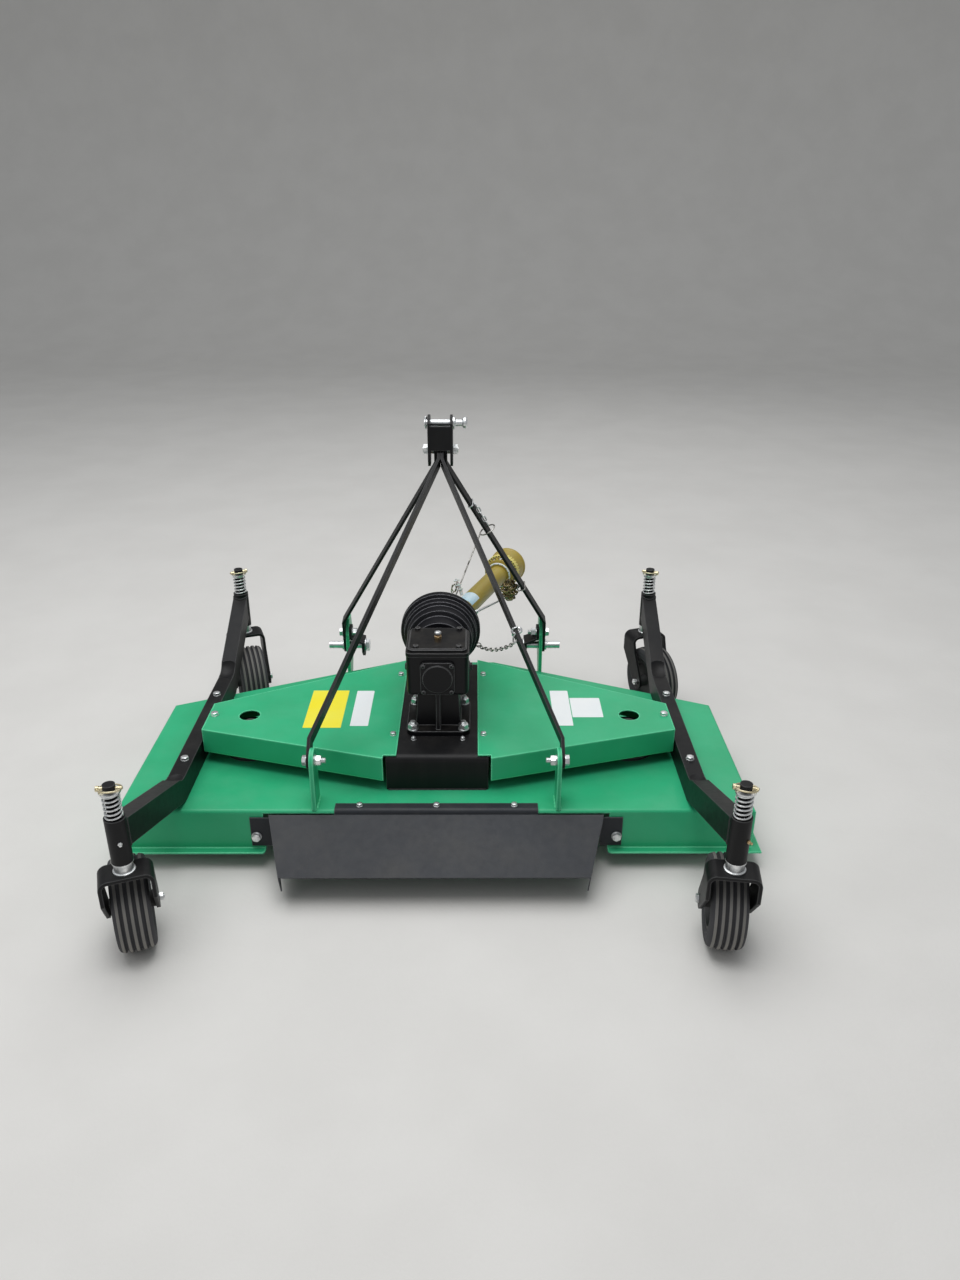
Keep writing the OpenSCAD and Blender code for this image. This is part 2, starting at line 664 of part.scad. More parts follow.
module hitch_cheeks() {
    pin_z = deck_top + lower_pin_h;
    front_tip = deck_top + front_bolt_h;
    seat_x = lug_x - lug_t / 2 - cheek_t;
    color("black") place() both() difference() {
        intersection() {
            translate([0, brace_bolt_y + 12, 0]) rotate([90, 0, 0]) linear_extrude(cheek_span, center = true)
                polygon([[seat_x, front_tip + 18], [seat_x + cheek_t, front_tip + 18], [seat_x + cheek_t, front_tip - 16],
                    [cheek_x + cheek_t / 2, pin_z + 16], [cheek_x + cheek_t / 2, pin_z - 34],
                    [cheek_x - cheek_t / 2, pin_z - 34], [cheek_x - cheek_t / 2, pin_z + 18], [seat_x, front_tip - 12]]);
            translate([cheek_x, 0, 0]) rotate([90, 0, 90]) linear_extrude(cheek_span, center = true)
                polygon([[brace_bolt_y - 16, front_tip + 18], [brace_bolt_y + 18, front_tip + 18],
                    [lower_pin_y + 28, pin_z + 18], [lower_pin_y + 26, pin_z - 12], [lower_pin_y + 6, pin_z - 32],
                    [lower_pin_y - 8, pin_z - 32], [lower_pin_y - 28, pin_z - 12], [lower_pin_y - 30, pin_z + 18]]);
        }
        translate([cheek_x, brace_bolt_y, front_tip]) hole_x(lug_hole_d, 100);
        translate([cheek_x, lower_pin_y, pin_z]) hole_x(lower_pin_d + 2 * seat, 60);
    }
}

pin_stub = 40;
pin_collar_t = 5;
pin_collar_d = 32;

module lower_pins() {
    tip = cheek_x - cheek_t / 2 - 10;
    shoulder = brace_foot_u + brace_t / 2 + seat;
    far = shoulder + pin_collar_t + pin_stub;
    color("silver") place() both() translate([0, lower_pin_y, deck_top + lower_pin_h]) {
        translate([(tip + far) / 2, 0, 0]) hole_x(lower_pin_d, far - tip);
        translate([shoulder + pin_collar_t / 2, 0, 0]) hole_x(pin_collar_d, pin_collar_t);
    }
}

housing_neck_d = 84;
housing_drop = 44;
housing_rise = 20;

module spindle_housings() {
    foot_d = housing_hole_d - 6;
    color("dimgray") place() for (s = SPINDLES) translate(spindle_pos(s) + [0, 0, deck_top]) rotate_extrude()
        polygon([[spindle_d / 2 + run, -housing_drop], [housing_neck_d / 2 - 4, -housing_drop],
            [housing_neck_d / 2, -housing_drop + 4], [housing_neck_d / 2, -12], [foot_d / 2, -deck_sheet - 2],
            [foot_d / 2, 0], [housing_flange_d / 2, 0], [housing_flange_d / 2, 8], [housing_flange_d / 2 - 3, 10],
            [housing_neck_d / 2, 10], [housing_neck_d / 2 - 6, housing_rise], [spindle_d / 2 + run, housing_rise]]);
}

belt_z = deck_top + 46;
belt_w = 9;
belt_gap = 1.2;
pulley_h = 24;
groove = 8;

module pulley_profile(r) {
    polygon([[0, 0], [r, 0], [r, 3], [r - groove, 8], [r - groove, pulley_h - 8], [r, pulley_h - 3], [r, pulley_h], [0, pulley_h]]);
}

module rotor(name) {
    s = spindle_at(name);
    hub_z = blade_z + blade_t;
    color("gray") place() translate(spindle_pos(s)) union() {
        translate([0, 0, hub_z]) cylinder(h = deck_top - housing_drop - 3 - hub_z, d = 64);
        translate([0, 0, blade_z - 16]) cylinder(h = belt_z + 32 - blade_z + 16, d = spindle_d);
        translate([0, 0, blade_z - 14]) cylinder(h = 14 - seat, d = 46);
        translate([0, 0, belt_z - pulley_h / 2]) rotate_extrude() pulley_profile(pulley_d / 2);
    }
}

wing_len = 130;
wing_lift = 22;
wing_root = 26;
bevel_len = 150;
bevel_w = 14;

module blade_bar() {
    linear_extrude(blade_t) difference() {
        square([blade_len, blade_w], center = true);
        for (turn = [0, 180]) rotate(turn) translate([blade_len / 2 - wing_len, -blade_w / 2 - cut])
            square([wing_len + cut, blade_w / 2 - wing_root / 2 + cut]);
    }
}

// Rear half of the tip, bent up to lift the grass
module blade_wing() {
    translate([blade_len / 2 - wing_len, 0, 0]) rotate([90, 0, 90]) linear_extrude(wing_len) polygon([
        [-wing_root / 2 + 6, 0], [-wing_root / 2, 0], [-blade_w / 2, wing_lift], [-blade_w / 2, wing_lift + blade_t],
        [-wing_root / 2, blade_t], [-wing_root / 2 + 6, blade_t]]);
}

// Cutting edge ground along the leading side of the tip
module blade_bevel() {
    translate([blade_len / 2 - bevel_len, 0, 0]) rotate([90, 0, 90]) linear_extrude(bevel_len + cut) polygon([
        [blade_w / 2 - bevel_w, blade_t + cut], [blade_w / 2 + cut, -blade_t / 8],
        [blade_w / 2 + cut, blade_t + cut]]);
}

module blade(name) {
    s = spindle_at(name);
    color("dimgray") place() translate(spindle_pos(s) + [0, 0, blade_z]) difference() {
        union() {
            blade_bar();
            for (turn = [0, 180]) rotate([0, 0, turn]) blade_wing();
        }
        for (turn = [0, 180]) rotate([0, 0, turn]) blade_bevel();
        translate([0, 0, -cut]) cylinder(h = blade_t + 2 * cut, d = spindle_d + 2 * seat);
    }
}

module rotor_left() { rotor("left"); }
module rotor_middle() { rotor("middle"); }
module rotor_right() { rotor("right"); }
module blade_left() { blade("left"); }
module blade_middle() { blade("middle"); }
module blade_right() { blade("right"); }

module drive_pulley() {
    color("gray") place() translate([0, gear_y, 0]) union() {
        translate([0, 0, belt_z - pulley_h / 2]) rotate_extrude() pulley_profile(drive_pulley_d / 2);
        translate([0, 0, belt_z]) cylinder(h = bridge_top - belt_z - 4, d = 50);
    }
}

belt_t = 7;
belt_steps = 20;

// The belt's loop, turning from the left spindle over the gearbox pulley, the right and the middle spindle:
// place across, place along, radius of the groove
BELT_LOOP = [[-spindle_x, spindle_y, pulley_d / 2 - groove], [0, gear_y, drive_pulley_d / 2 - groove],
    [spindle_x, spindle_y, pulley_d / 2 - groove], [0, spindle_y + spindle_lead, pulley_d / 2 - groove]];
function belt_at(i) = BELT_LOOP[(i + len(BELT_LOOP)) % len(BELT_LOOP)];
// Direction outward from the straight run between pulley i and the next
function run_normal(i) = let (a = belt_at(i), b = belt_at(i + 1), dx = b[0] - a[0], dy = b[1] - a[1])
    atan2(dy, dx) - acos((a[2] - b[2]) / norm([dx, dy]));
function wrap(i) = (run_normal(i) - run_normal(i - 1) + 720) % 360;
function belt_line(grow) = [for (i = [0 : len(BELT_LOOP) - 1]) for (k = [0 : belt_steps])
    let (a = run_normal(i - 1) + wrap(i) * k / belt_steps, r = belt_at(i)[2] + grow)
    [belt_at(i)[0] + r * cos(a), belt_at(i)[1] + r * sin(a)]];

module drive_belt() {
    color("black") place() translate([0, 0, belt_z - belt_w / 2]) linear_extrude(belt_w) difference() {
        polygon(belt_line(belt_t + belt_gap));
        polygon(belt_line(belt_gap));
    }
}

// Frame of the driveline: +Z runs from the gearbox joint to the far joint
module along_shaft() {
    place() translate([0, shaft_y, input_z]) rotate([0, 0, -shaft_yaw]) rotate([-90 - shaft_dip, 0, 0]) children();
}

inner_tube_d = 32;
guard_wall = 2.5;
guard_fit = 0.4;
inner_guard_d = guard_d - 2 * guard_wall - 2 * guard_fit;
outer_tube_d = 40;
knuckle_r = 24;
cone_len = 90;
guard_start = 40;
guard_end_gap = 6;
inner_guard_end = 330;
outer_guard_start = 150;
neck_z = shaft_len - 70;
outer_tube_start = inner_guard_end + 50;
collar_len = 12;
cross_d = 16;
yoke_slot = 34;
yoke_base = 30;
spline_d = 34.9;
spline_len = 50;

module pto_inner_shaft() {
    color("gray") along_shaft() union() {
        sphere(r = knuckle_r);
        rotate_extrude() polygon([[0, 0], [yoke_r, 0], [yoke_r, guard_start - 12], [inner_tube_d / 2 + 3, guard_start],
            [0, guard_start]]);
        cylinder(h = inner_guard_end, d = inner_tube_d);
    }
}

// Fork of a universal joint: its ears reach over the origin, its hub lies at -Z
module yoke(hub) {
    difference() {
        union() {
            intersection() {
                translate([0, 0, -yoke_base]) cylinder(h = yoke_base + yoke_r, r = yoke_r);
                union() {
                    hole_x(30, 2 * yoke_r);
                    translate([-yoke_r, -15, -yoke_base]) cube([2 * yoke_r, 30, yoke_base]);
                }
            }
            translate([0, 0, -hub]) cylinder(h = hub - yoke_base + 10, r = yoke_r - 3);
        }
        translate([-yoke_slot / 2, -yoke_r - cut, 10 - yoke_base]) cube([yoke_slot, 2 * (yoke_r + cut), 2 * yoke_r]);
    }
}

// Place along the driveline and radius of the guard cone's steps, as shares
CONE_STEPS = [[0, 0.51], [0.04, 0.78], [0.3, 0.85], [0.34, 0.92], [0.88, 0.96], [0.92, 1], [1, 1]];
cone_slots = 12;
cone_slot_w = 9;

module guard_cone() {
    r = cone_d / 2;
    last = len(CONE_STEPS) - 1;
    difference() {
        translate([0, 0, neck_z]) rotate_extrude() difference() {
            polygon(concat([[outer_tube_d / 2 + seat, 0]], [for (s = CONE_STEPS) [s[1] * r, s[0] * cone_len]],
                [[outer_tube_d / 2 + seat, cone_len]]));
            polygon(concat([[0, guard_wall]], [for (s = CONE_STEPS) if (s[0] > 0) [s[1] * r - guard_wall, s[0] * cone_len]],
                [[CONE_STEPS[last][1] * r - guard_wall, cone_len + cut], [0, cone_len + cut]]));
        }
        // Windows round the collar behind the cone
        for (i = [0 : cone_slots - 1]) rotate([0, 0, i * 360 / cone_slots])
            translate([0, -cone_slot_w / 2, neck_z + 0.1 * cone_len]) cube([cone_d, cone_slot_w, 0.14 * cone_len]);
    }
}

module pto_inner_guard() {
    color("goldenrod") along_shaft() difference() {
        translate([0, 0, guard_start + guard_end_gap])
            cylinder(h = inner_guard_end - guard_start - 2 * guard_end_gap, d = inner_guard_d);
        translate([0, 0, guard_start]) cylinder(h = inner_guard_end, d = inner_tube_d + 2 * seat);
        translate([0, 0, guard_start + guard_end_gap + collar_len])
            cylinder(h = inner_guard_end, d = inner_guard_d - 2 * guard_wall);
    }
}

module pto_outer_guard() {
    color("goldenrod") along_shaft() union() {
        difference() {
            translate([0, 0, outer_guard_start]) cylinder(h = neck_z - outer_guard_start + guard_wall, d = guard_d);
            translate([0, 0, outer_guard_start - cut])
                cylinder(h = neck_z - outer_guard_start - collar_len, d = guard_d - 2 * guard_wall);
            translate([0, 0, outer_guard_start]) cylinder(h = neck_z, d = outer_tube_d + 2 * seat);
        }
        guard_cone();
    }
}

module pto_outer_shaft() {
    color("gray") along_shaft() difference() {
        union() {
            translate([0, 0, outer_tube_start]) cylinder(h = shaft_len - outer_tube_start - yoke_base + cut, d = outer_tube_d);
            translate([0, 0, shaft_len]) {
                yoke(yoke_base);
                hole_x(cross_d, 2 * yoke_r - 4);
                hole_y(cross_d, 2 * yoke_r - 4);
                sphere(d = yoke_slot - 8);
                rotate([180, 0, 90]) yoke(yoke_len);
            }
        }
        translate([0, 0, shaft_len + yoke_len - spline_len]) cylinder(h = spline_len + cut, d = spline_d);
    }
}

// Point and direction along the right-hand front brace, v from its lug's bolt
function front_bar(v) = let (y0 = brace_bolt_y, z0 = deck_top + front_bolt_h, dy = mast_y - y0, dz = mast_z - z0,
        l = sqrt(dy * dy + dz * dz), lean = (front_top_u - brace_foot_u) / (l - front_straight - brace_straight))
    [[brace_foot_u + lean * (v - front_straight), y0 + v * dy / l, z0 + v * dz / l], [lean, dy / l, dz / l]];

holder_wire = 4;
holder_v = 340;
holder_z = 120;

// Wire that hangs the driveline from a brace: a ring round the bar, the rod, and a ring round the guard tube
module shaft_holder() {
    bar = front_bar(holder_v);
    ring_in = sqrt(brace_w * brace_w + brace_t * brace_t) / 2 + seat;
    ring_r = ring_in + holder_wire / 2;
    tube_ring = guard_d / 2 + guard_fit + holder_wire / 2;
    ahead = [sin(shaft_yaw) * cos(shaft_dip), cos(shaft_yaw) * cos(shaft_dip), -sin(shaft_dip)];
    low = [0, shaft_y, input_z] + holder_z * ahead
        + tube_ring * [-cos(shaft_yaw) * sin(30), sin(shaft_yaw) * sin(30), cos(30)];
    side = cross(bar[1], [0, 1, 0]);
    color("silver") union() {
        place() {
            translate(bar[0]) aim(bar[1]) rotate_extrude() translate([ring_r, 0]) circle(d = holder_wire);
            rod(bar[0] + ring_r * side / norm(side), low, holder_wire);
        }
        along_shaft() translate([0, 0, holder_z]) rotate_extrude()
            translate([tube_ring, 0]) circle(d = holder_wire);
    }
}

washer_d = tube_d;
washer_t = 3;
spring_wire = 4.5;
spring_d = 37;
spring_turns = 6;
spring_h = 58;

module pivot_washers() {
    stack = tube_foot - fork_top - 2 * seat;
    bore = pin_d / 2 + run;
    color("silver") place() both() for (end = [-1, 1]) translate([arm_x, end * pivot_y, 0]) {
        // Collar and thrust washers between the fork and the tube
        translate([0, 0, fork_top + seat]) rotate_extrude() polygon([[bore, 0], [washer_d / 2 + 1, 0],
            [washer_d / 2 + 1, washer_t], [washer_d / 2 - 2, washer_t + 1], [washer_d / 2 - 2, stack - washer_t - 1],
            [washer_d / 2, stack - washer_t], [washer_d / 2, stack], [bore, stack]]);
        // Washer that the spring pushes up against the linch pin
        translate([0, 0, tube_top + spring_h + 2 * seat]) difference() {
            cylinder(h = washer_t, d = washer_d);
            translate([0, 0, -cut]) cylinder(h = washer_t + 2 * cut, d = pin_d + 2 * run);
        }
    }
}

module pivot_springs() {
    pitch = (spring_h - spring_wire) / (spring_turns - 1);
    bore = pin_d / 2 + seat;
    coil_r = (spring_d - spring_wire) / 2;
    color("silver") place() both() for (end = [-1, 1]) translate([arm_x, end * pivot_y, tube_top + seat])
        rotate_extrude() union() {
            translate([bore, spring_wire / 2]) square([coil_r - bore, spring_h - spring_wire]);
            for (i = [0 : spring_turns - 1]) translate([coil_r, spring_wire / 2 + i * pitch]) circle(d = spring_wire, $fn = 16);
        }
}

// Caster frame: the wheel trails along +Y of this frame
module caster(name) {
    c = caster_at(name);
    place() translate([c[1] * arm_x, c[2] * pivot_y, 0]) rotate([0, 0, c[3]]) children();
}

pin_top = tube_top + 76;
axle_r = 22;

module fork_leg() {
    down = fork_top - fork_bend_r;
    polygon([[-fork_bar / 2, down], [fork_bar / 2, down], [fork_bar / 2 + 10, down - 30],
        [trail + axle_r * cos(20), axle_z + axle_r * sin(20)], [trail, axle_z],
        [trail - axle_r * cos(50), axle_z - axle_r * sin(50)], [-fork_bar / 2, down - 40]]);
    translate([trail, axle_z]) circle(r = axle_r);
}

module fork(name) {
    color("black") caster(name) difference() {
        union() {
            rotate([90, 0, 0]) linear_extrude(fork_bar, center = true) difference() {
                fork_arch(fork_half, fork_top, fork_bend_r);
                translate([0, -cut]) fork_arch(fork_inner / 2, fork_top - fork_t + cut, fork_bend_r - fork_t);
                translate([-fork_half - cut, -cut]) square([2 * fork_half + 2 * cut, fork_top - fork_bend_r + cut]);
            }
            for (side = [0, 1]) mirror([side, 0, 0]) translate([fork_inner / 2, 0, 0]) rotate([90, 0, 90])
                linear_extrude(fork_t) fork_leg();
            translate([0, 0, fork_top - cut]) cylinder(h = pin_top - fork_top + cut, d = pin_d);
        }
        translate([0, trail, axle_z]) hole_x(axle_d + 2 * seat, 3 * fork_half);
    }
}

module fork_arch(half, top, r) {
    translate([-half, 0]) square([2 * half, top - r]);
    translate([-half + r, 0]) square([2 * (half - r), top]);
    for (side = [-1, 1]) translate([side * (half - r), top - r]) circle(r = r);
}

module axle(name) {
    color("silver") caster(name) translate([0, trail, axle_z]) union() {
        hole_x(axle_d, 2 * fork_half + 26);
        for (side = [-1, 1]) translate([side * (fork_half + seat + 5), 0, 0]) hole_x(22, 10);
    }
}

module hub(name) {
    color("dimgray") caster(name) translate([0, trail, axle_z]) rotate([0, 90, 0]) rotate_extrude() polygon([
        [axle_d / 2 + run, -fork_inner / 2 + 1], [18, -fork_inner / 2 + 1], [18, -tyre_w / 2 + 14], [hub_d / 2 - 10, -tyre_w / 2 + 14],
        [hub_d / 2 - 6, -tyre_w / 2 + 4], [hub_d / 2, -tyre_w / 2 + 4], [hub_d / 2, tyre_w / 2 - 4], [hub_d / 2 - 6, tyre_w / 2 - 4],
        [hub_d / 2 - 10, tyre_w / 2 - 14], [18, tyre_w / 2 - 14], [18, fork_inner / 2 - 1], [axle_d / 2 + run, fork_inner / 2 - 1]]);
}

rib_count = 6;
rib_depth = 5;

module tyre(name) {
    r = tyre_d / 2;
    pitch = (tyre_w - 16) / rib_count;
    color("black") caster(name) translate([0, trail, axle_z]) rotate([0, 90, 0]) rotate_extrude($fn = 64) difference() {
        polygon([[hub_d / 2 + seat, -tyre_w / 2 + 4], [hub_d / 2 + 8, -tyre_w / 2], [r - 12, -tyre_w / 2], [r - 3, -tyre_w / 2 + 8],
            [r, -tyre_w / 4], [r, tyre_w / 4], [r - 3, tyre_w / 2 - 8], [r - 12, tyre_w / 2], [hub_d / 2 + 8, tyre_w / 2],
            [hub_d / 2 + seat, tyre_w / 2 - 4]]);
        for (i = [1 : rib_count - 1]) translate([r - rib_depth, -tyre_w / 2 + 8 + i * pitch - 2]) square([rib_depth + cut, 4]);
    }
}

module fork_rear_left() { fork("rear_left"); }
module fork_rear_right() { fork("rear_right"); }
module fork_front_left() { fork("front_left"); }
module fork_front_right() { fork("front_right"); }
module axle_rear_left() { axle("rear_left"); }
module axle_rear_right() { axle("rear_right"); }
module axle_front_left() { axle("front_left"); }
module axle_front_right() { axle("front_right"); }
module hub_rear_left() { hub("rear_left"); }
module hub_rear_right() { hub("rear_right"); }
module hub_front_left() { hub("front_left"); }
module hub_front_right() { hub("front_right"); }
module tyre_rear_left() { tyre("rear_left"); }
module tyre_rear_right() { tyre("rear_right"); }
module tyre_front_left() { tyre("front_left"); }
module tyre_front_right() { tyre("front_right"); }

deck();
hitch_lugs();
discharge_guard();
wheel_arms();
belt_covers();
cover_posts();
gearbox_bridge();
gearbox_housing();
gearbox_covers();
input_bell();
front_braces();
rear_braces();
top_clevis();
clevis_bolt();
top_pin();
hitch_cheeks();
lower_pins();
spindle_housings();
rotor_left();
rotor_middle();
rotor_right();
blade_left();
blade_middle();
blade_right();
drive_pulley();
drive_belt();
pto_inner_shaft();
pto_inner_guard();
pto_outer_guard();
pto_outer_shaft();
shaft_holder();
pivot_springs();
pivot_washers();
fork_rear_left();
axle_rear_left();
hub_rear_left();
tyre_rear_left();
fork_rear_right();
axle_rear_right();
hub_rear_right();
tyre_rear_right();
fork_front_left();
axle_front_left();
hub_front_left();
tyre_front_left();
fork_front_right();
axle_front_right();
hub_front_right();
tyre_front_right();
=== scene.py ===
"""Looks of the three-point finishing mower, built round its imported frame.

Every size below is in millimetres in the machine's own frame, unless its comment says metres: +X is its right, +Y
is forward to the tractor, +Z is up, and the origin is on the ground midway between the caster pivots.
``Machine.spot`` turns such a place into the row frame's metres.
"""

from __future__ import annotations

import json
import logging
import math
from dataclasses import dataclass, field
from enum import Enum
from typing import Sequence, Union

import bmesh
import bpy
from mathutils import Matrix, Vector

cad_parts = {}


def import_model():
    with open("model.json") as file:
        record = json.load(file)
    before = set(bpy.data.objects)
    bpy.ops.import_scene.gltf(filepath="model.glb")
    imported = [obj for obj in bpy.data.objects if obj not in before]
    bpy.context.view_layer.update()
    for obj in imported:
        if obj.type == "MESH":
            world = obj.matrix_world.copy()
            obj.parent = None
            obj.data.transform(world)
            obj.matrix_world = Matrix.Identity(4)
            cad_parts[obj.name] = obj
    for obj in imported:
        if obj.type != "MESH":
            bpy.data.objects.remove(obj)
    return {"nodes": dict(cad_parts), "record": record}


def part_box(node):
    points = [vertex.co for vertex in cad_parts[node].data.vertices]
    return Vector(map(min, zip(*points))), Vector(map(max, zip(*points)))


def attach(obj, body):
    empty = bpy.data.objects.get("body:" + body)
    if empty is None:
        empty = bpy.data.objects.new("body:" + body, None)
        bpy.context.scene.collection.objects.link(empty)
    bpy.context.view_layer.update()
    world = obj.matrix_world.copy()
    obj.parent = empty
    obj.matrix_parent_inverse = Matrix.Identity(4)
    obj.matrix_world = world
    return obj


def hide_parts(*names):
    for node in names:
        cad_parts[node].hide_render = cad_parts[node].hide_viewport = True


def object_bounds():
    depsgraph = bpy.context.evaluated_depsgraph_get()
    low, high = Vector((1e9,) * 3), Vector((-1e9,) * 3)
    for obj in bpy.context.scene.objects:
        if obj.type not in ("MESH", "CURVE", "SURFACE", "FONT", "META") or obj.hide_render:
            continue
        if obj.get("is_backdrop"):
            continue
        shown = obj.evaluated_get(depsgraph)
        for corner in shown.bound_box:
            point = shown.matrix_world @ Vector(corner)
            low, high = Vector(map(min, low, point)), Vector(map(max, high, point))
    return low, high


LOG = logging.getLogger("mower")
MM = 0.001
SHARP_ANGLE = math.radians(34)
WIRE_SIDES = 8

UP = Vector((0, 0, 1))
BACK = Vector((0, -1, 0))
AHEAD = Vector((0, 1, 0))
RIGHT = Vector((1, 0, 0))

Colour = tuple[float, float, float]
Place = tuple[float, float, float]
Profile = list[tuple[float, float]]

# Places that more than one sub-assembly uses
ARM_X = 618.0
PIVOT_Y = 577.0
TUBE_R = 21.5
DECK_TOP = 155.0
DECK_UNDER = 151.0
COVER_TOP = 251.0


# --------------------------------------------------------------------------- shader maths


class Signal:
    """One output of a node tree, with arithmetic that adds the Math nodes it needs."""

    def __init__(self, tree: "ShaderTree", socket: bpy.types.NodeSocket) -> None:
        """Wraps a socket.

        Args:
            tree: The tree that the socket is part of.
            socket: The output socket.
        """
        self.tree = tree
        self.socket = socket

    def _with(self, operation: str, *values: "Number") -> "Signal":
        """Adds a Math node on the given values, in order."""
        inputs = {i: v for i, v in enumerate(values)}
        return self.tree.signal("ShaderNodeMath", {"operation": operation}, inputs)

    def __add__(self, other: "Number") -> "Signal":
        """Sum."""
        return self._with("ADD", self, other)

    def __radd__(self, other: "Number") -> "Signal":
        """Reflected sum."""
        return self._with("ADD", other, self)

    def __sub__(self, other: "Number") -> "Signal":
        """Difference."""
        return self._with("SUBTRACT", self, other)

    def __rsub__(self, other: "Number") -> "Signal":
        """Reflected difference."""
        return self._with("SUBTRACT", other, self)

    def __mul__(self, other: "Number") -> "Signal":
        """Product."""
        return self._with("MULTIPLY", self, other)

    def __rmul__(self, other: "Number") -> "Signal":
        """Reflected product."""
        return self._with("MULTIPLY", other, self)

    def clamped(self) -> "Signal":
        """The value held between 0 and 1."""
        return self.tree.signal("ShaderNodeClamp", {}, {"Value": self})

    def smooth(self, low: float, high: float) -> "Signal":
        """The value eased from 0 at low to 1 at high."""
        return self.tree.signal("ShaderNodeMapRange", {"interpolation_type": "SMOOTHSTEP"},
                                {"Value": self, "From Min": low, "From Max": high})


Number = Union[Signal, float, int]
Paintable = Union[Signal, Colour]


class ShaderTree:
    """The node tree of one material, with a method for each thing the finishes need."""

    def __init__(self, name: str) -> None:
        """Makes an empty material.

        Args:
            name: The material's name.
        """
        self.material = bpy.data.materials.new(name)
        self.material.use_nodes = True
        self.nodes = self.material.node_tree.nodes
        self.links = self.material.node_tree.links
        self.nodes.clear()
        self.coordinates = self.signal("ShaderNodeTexCoord", {}, {}, "Object")
        self.geometry = self.node("ShaderNodeNewGeometry", {}, {})

    def node(self, kind: str, settings: dict, inputs: dict) -> bpy.types.Node:
        """Adds a node.

        Args:
            kind: The node's type.
            settings: Properties, set before the sockets.
            inputs: Values or signals by socket name or index.

        Returns:
            The new node.
        """
        made = self.nodes.new(kind)
        for key, value in settings.items():
            setattr(made, key, value)
        for key, value in inputs.items():
            if isinstance(value, Signal):
                self.links.new(value.socket, made.inputs[key])
            elif isinstance(value, tuple) and made.inputs[key].type == "RGBA":
                made.inputs[key].default_value = (*value, 1.0)
            else:
                made.inputs[key].default_value = value
        return made

    def signal(self, kind: str, settings: dict, inputs: dict, output: Union[str, int] = 0) -> Signal:
        """Adds a node and wraps one of its outputs."""
        return Signal(self, self.node(kind, settings, inputs).outputs[output])

    def noise(self, scale: float, detail: float = 4.0, roughness: float = 0.55,
              stretch: Place = (1.0, 1.0, 1.0)) -> Signal:
        """Fractal noise of about 0.5, with scale in cells per metre.

        Args:
            scale: How many cells fit in a metre.
            detail: How many finer layers it has.
            roughness: How strong the finer layers are.
            stretch: Its scale along each axis.

        Returns:
            The noise.
        """
        where = self.signal("ShaderNodeMapping", {}, {"Vector": self.coordinates, "Scale": Vector(stretch)})
        return self.signal("ShaderNodeTexNoise", {}, {"Vector": where, "Scale": scale, "Detail": detail,
                                                      "Roughness": roughness})

    def upward(self, vector: Signal) -> Signal:
        """The vector's Z."""
        return self.signal("ShaderNodeSeparateXYZ", {}, {"Vector": vector}, "Z")

    def facing_up(self) -> Signal:
        """How far a face looks up: 1 on top, 0 on its side, negative below."""
        return self.upward(Signal(self, self.geometry.outputs["Normal"]))

    def height(self) -> Signal:
        """Height over the ground in metres."""
        return self.upward(self.coordinates)

    def edges(self, radius: float) -> tuple[Signal, Signal]:
        """Rounded normal near edges, and a mask that is 1 on a sharp edge.

        Args:
            radius: How wide the rounding looks, in metres.

        Returns:
            The rounded normal and the mask.
        """
        rounded = self.signal("ShaderNodeBevel", {"samples": 6}, {"Radius": radius})
        flat = Signal(self, self.geometry.outputs["True Normal"])
        dot = self.signal("ShaderNodeVectorMath", {"operation": "DOT_PRODUCT"}, {0: rounded, 1: flat}, "Value")
        return rounded, (1.0 - dot).smooth(0.006, 0.11)

    def mix(self, factor: Number, low: Paintable, high: Paintable) -> Signal:
        """Mixes two colours."""
        return self.signal("ShaderNodeMix", {"data_type": "RGBA"}, {0: factor, 6: low, 7: high}, 2)

    def bump(self, height: Number, distance: float, normal: Signal | None = None) -> Signal:
        """Normal bent by a height, with distance in metres.

        Args:
            height: The height, from 0 to 1.
            distance: How far a height of 1 stands out, in metres.
            normal: The normal that it bends, or none for the surface's own.

        Returns:
            The bent normal.
        """
        inputs = {"Height": height, "Distance": distance, "Strength": 1.0}
        if normal is not None:
            inputs["Normal"] = normal
        return self.signal("ShaderNodeBump", {}, inputs)

    def finish(self, **inputs: Union[Number, Paintable]) -> bpy.types.Material:
        """Closes the tree with a Principled surface.

        Args:
            **inputs: Socket values, with an underscore for each space of a socket's name.

        Returns:
            The material.
        """
        sockets = {name.replace("_", " "): value for name, value in inputs.items()}
        surface = self.signal("ShaderNodeBsdfPrincipled", {}, sockets)
        self.node("ShaderNodeOutputMaterial", {}, {"Surface": surface})
        return self.material


# --------------------------------------------------------------------------- finishes


DUST = (0.30, 0.27, 0.22)
WORN_PLATING = (0.92, 0.92, 0.90)
WORN_STEEL = (0.6, 0.6, 0.58)
SCUFFED_VINYL = (0.42, 0.40, 0.36)


def highlight_tone(colour: Colour, gain: float) -> Colour:
    """The pale tone painted along edges and folds as a highlight."""
    return tuple(min(1.0, channel * gain + 0.15) for channel in colour)


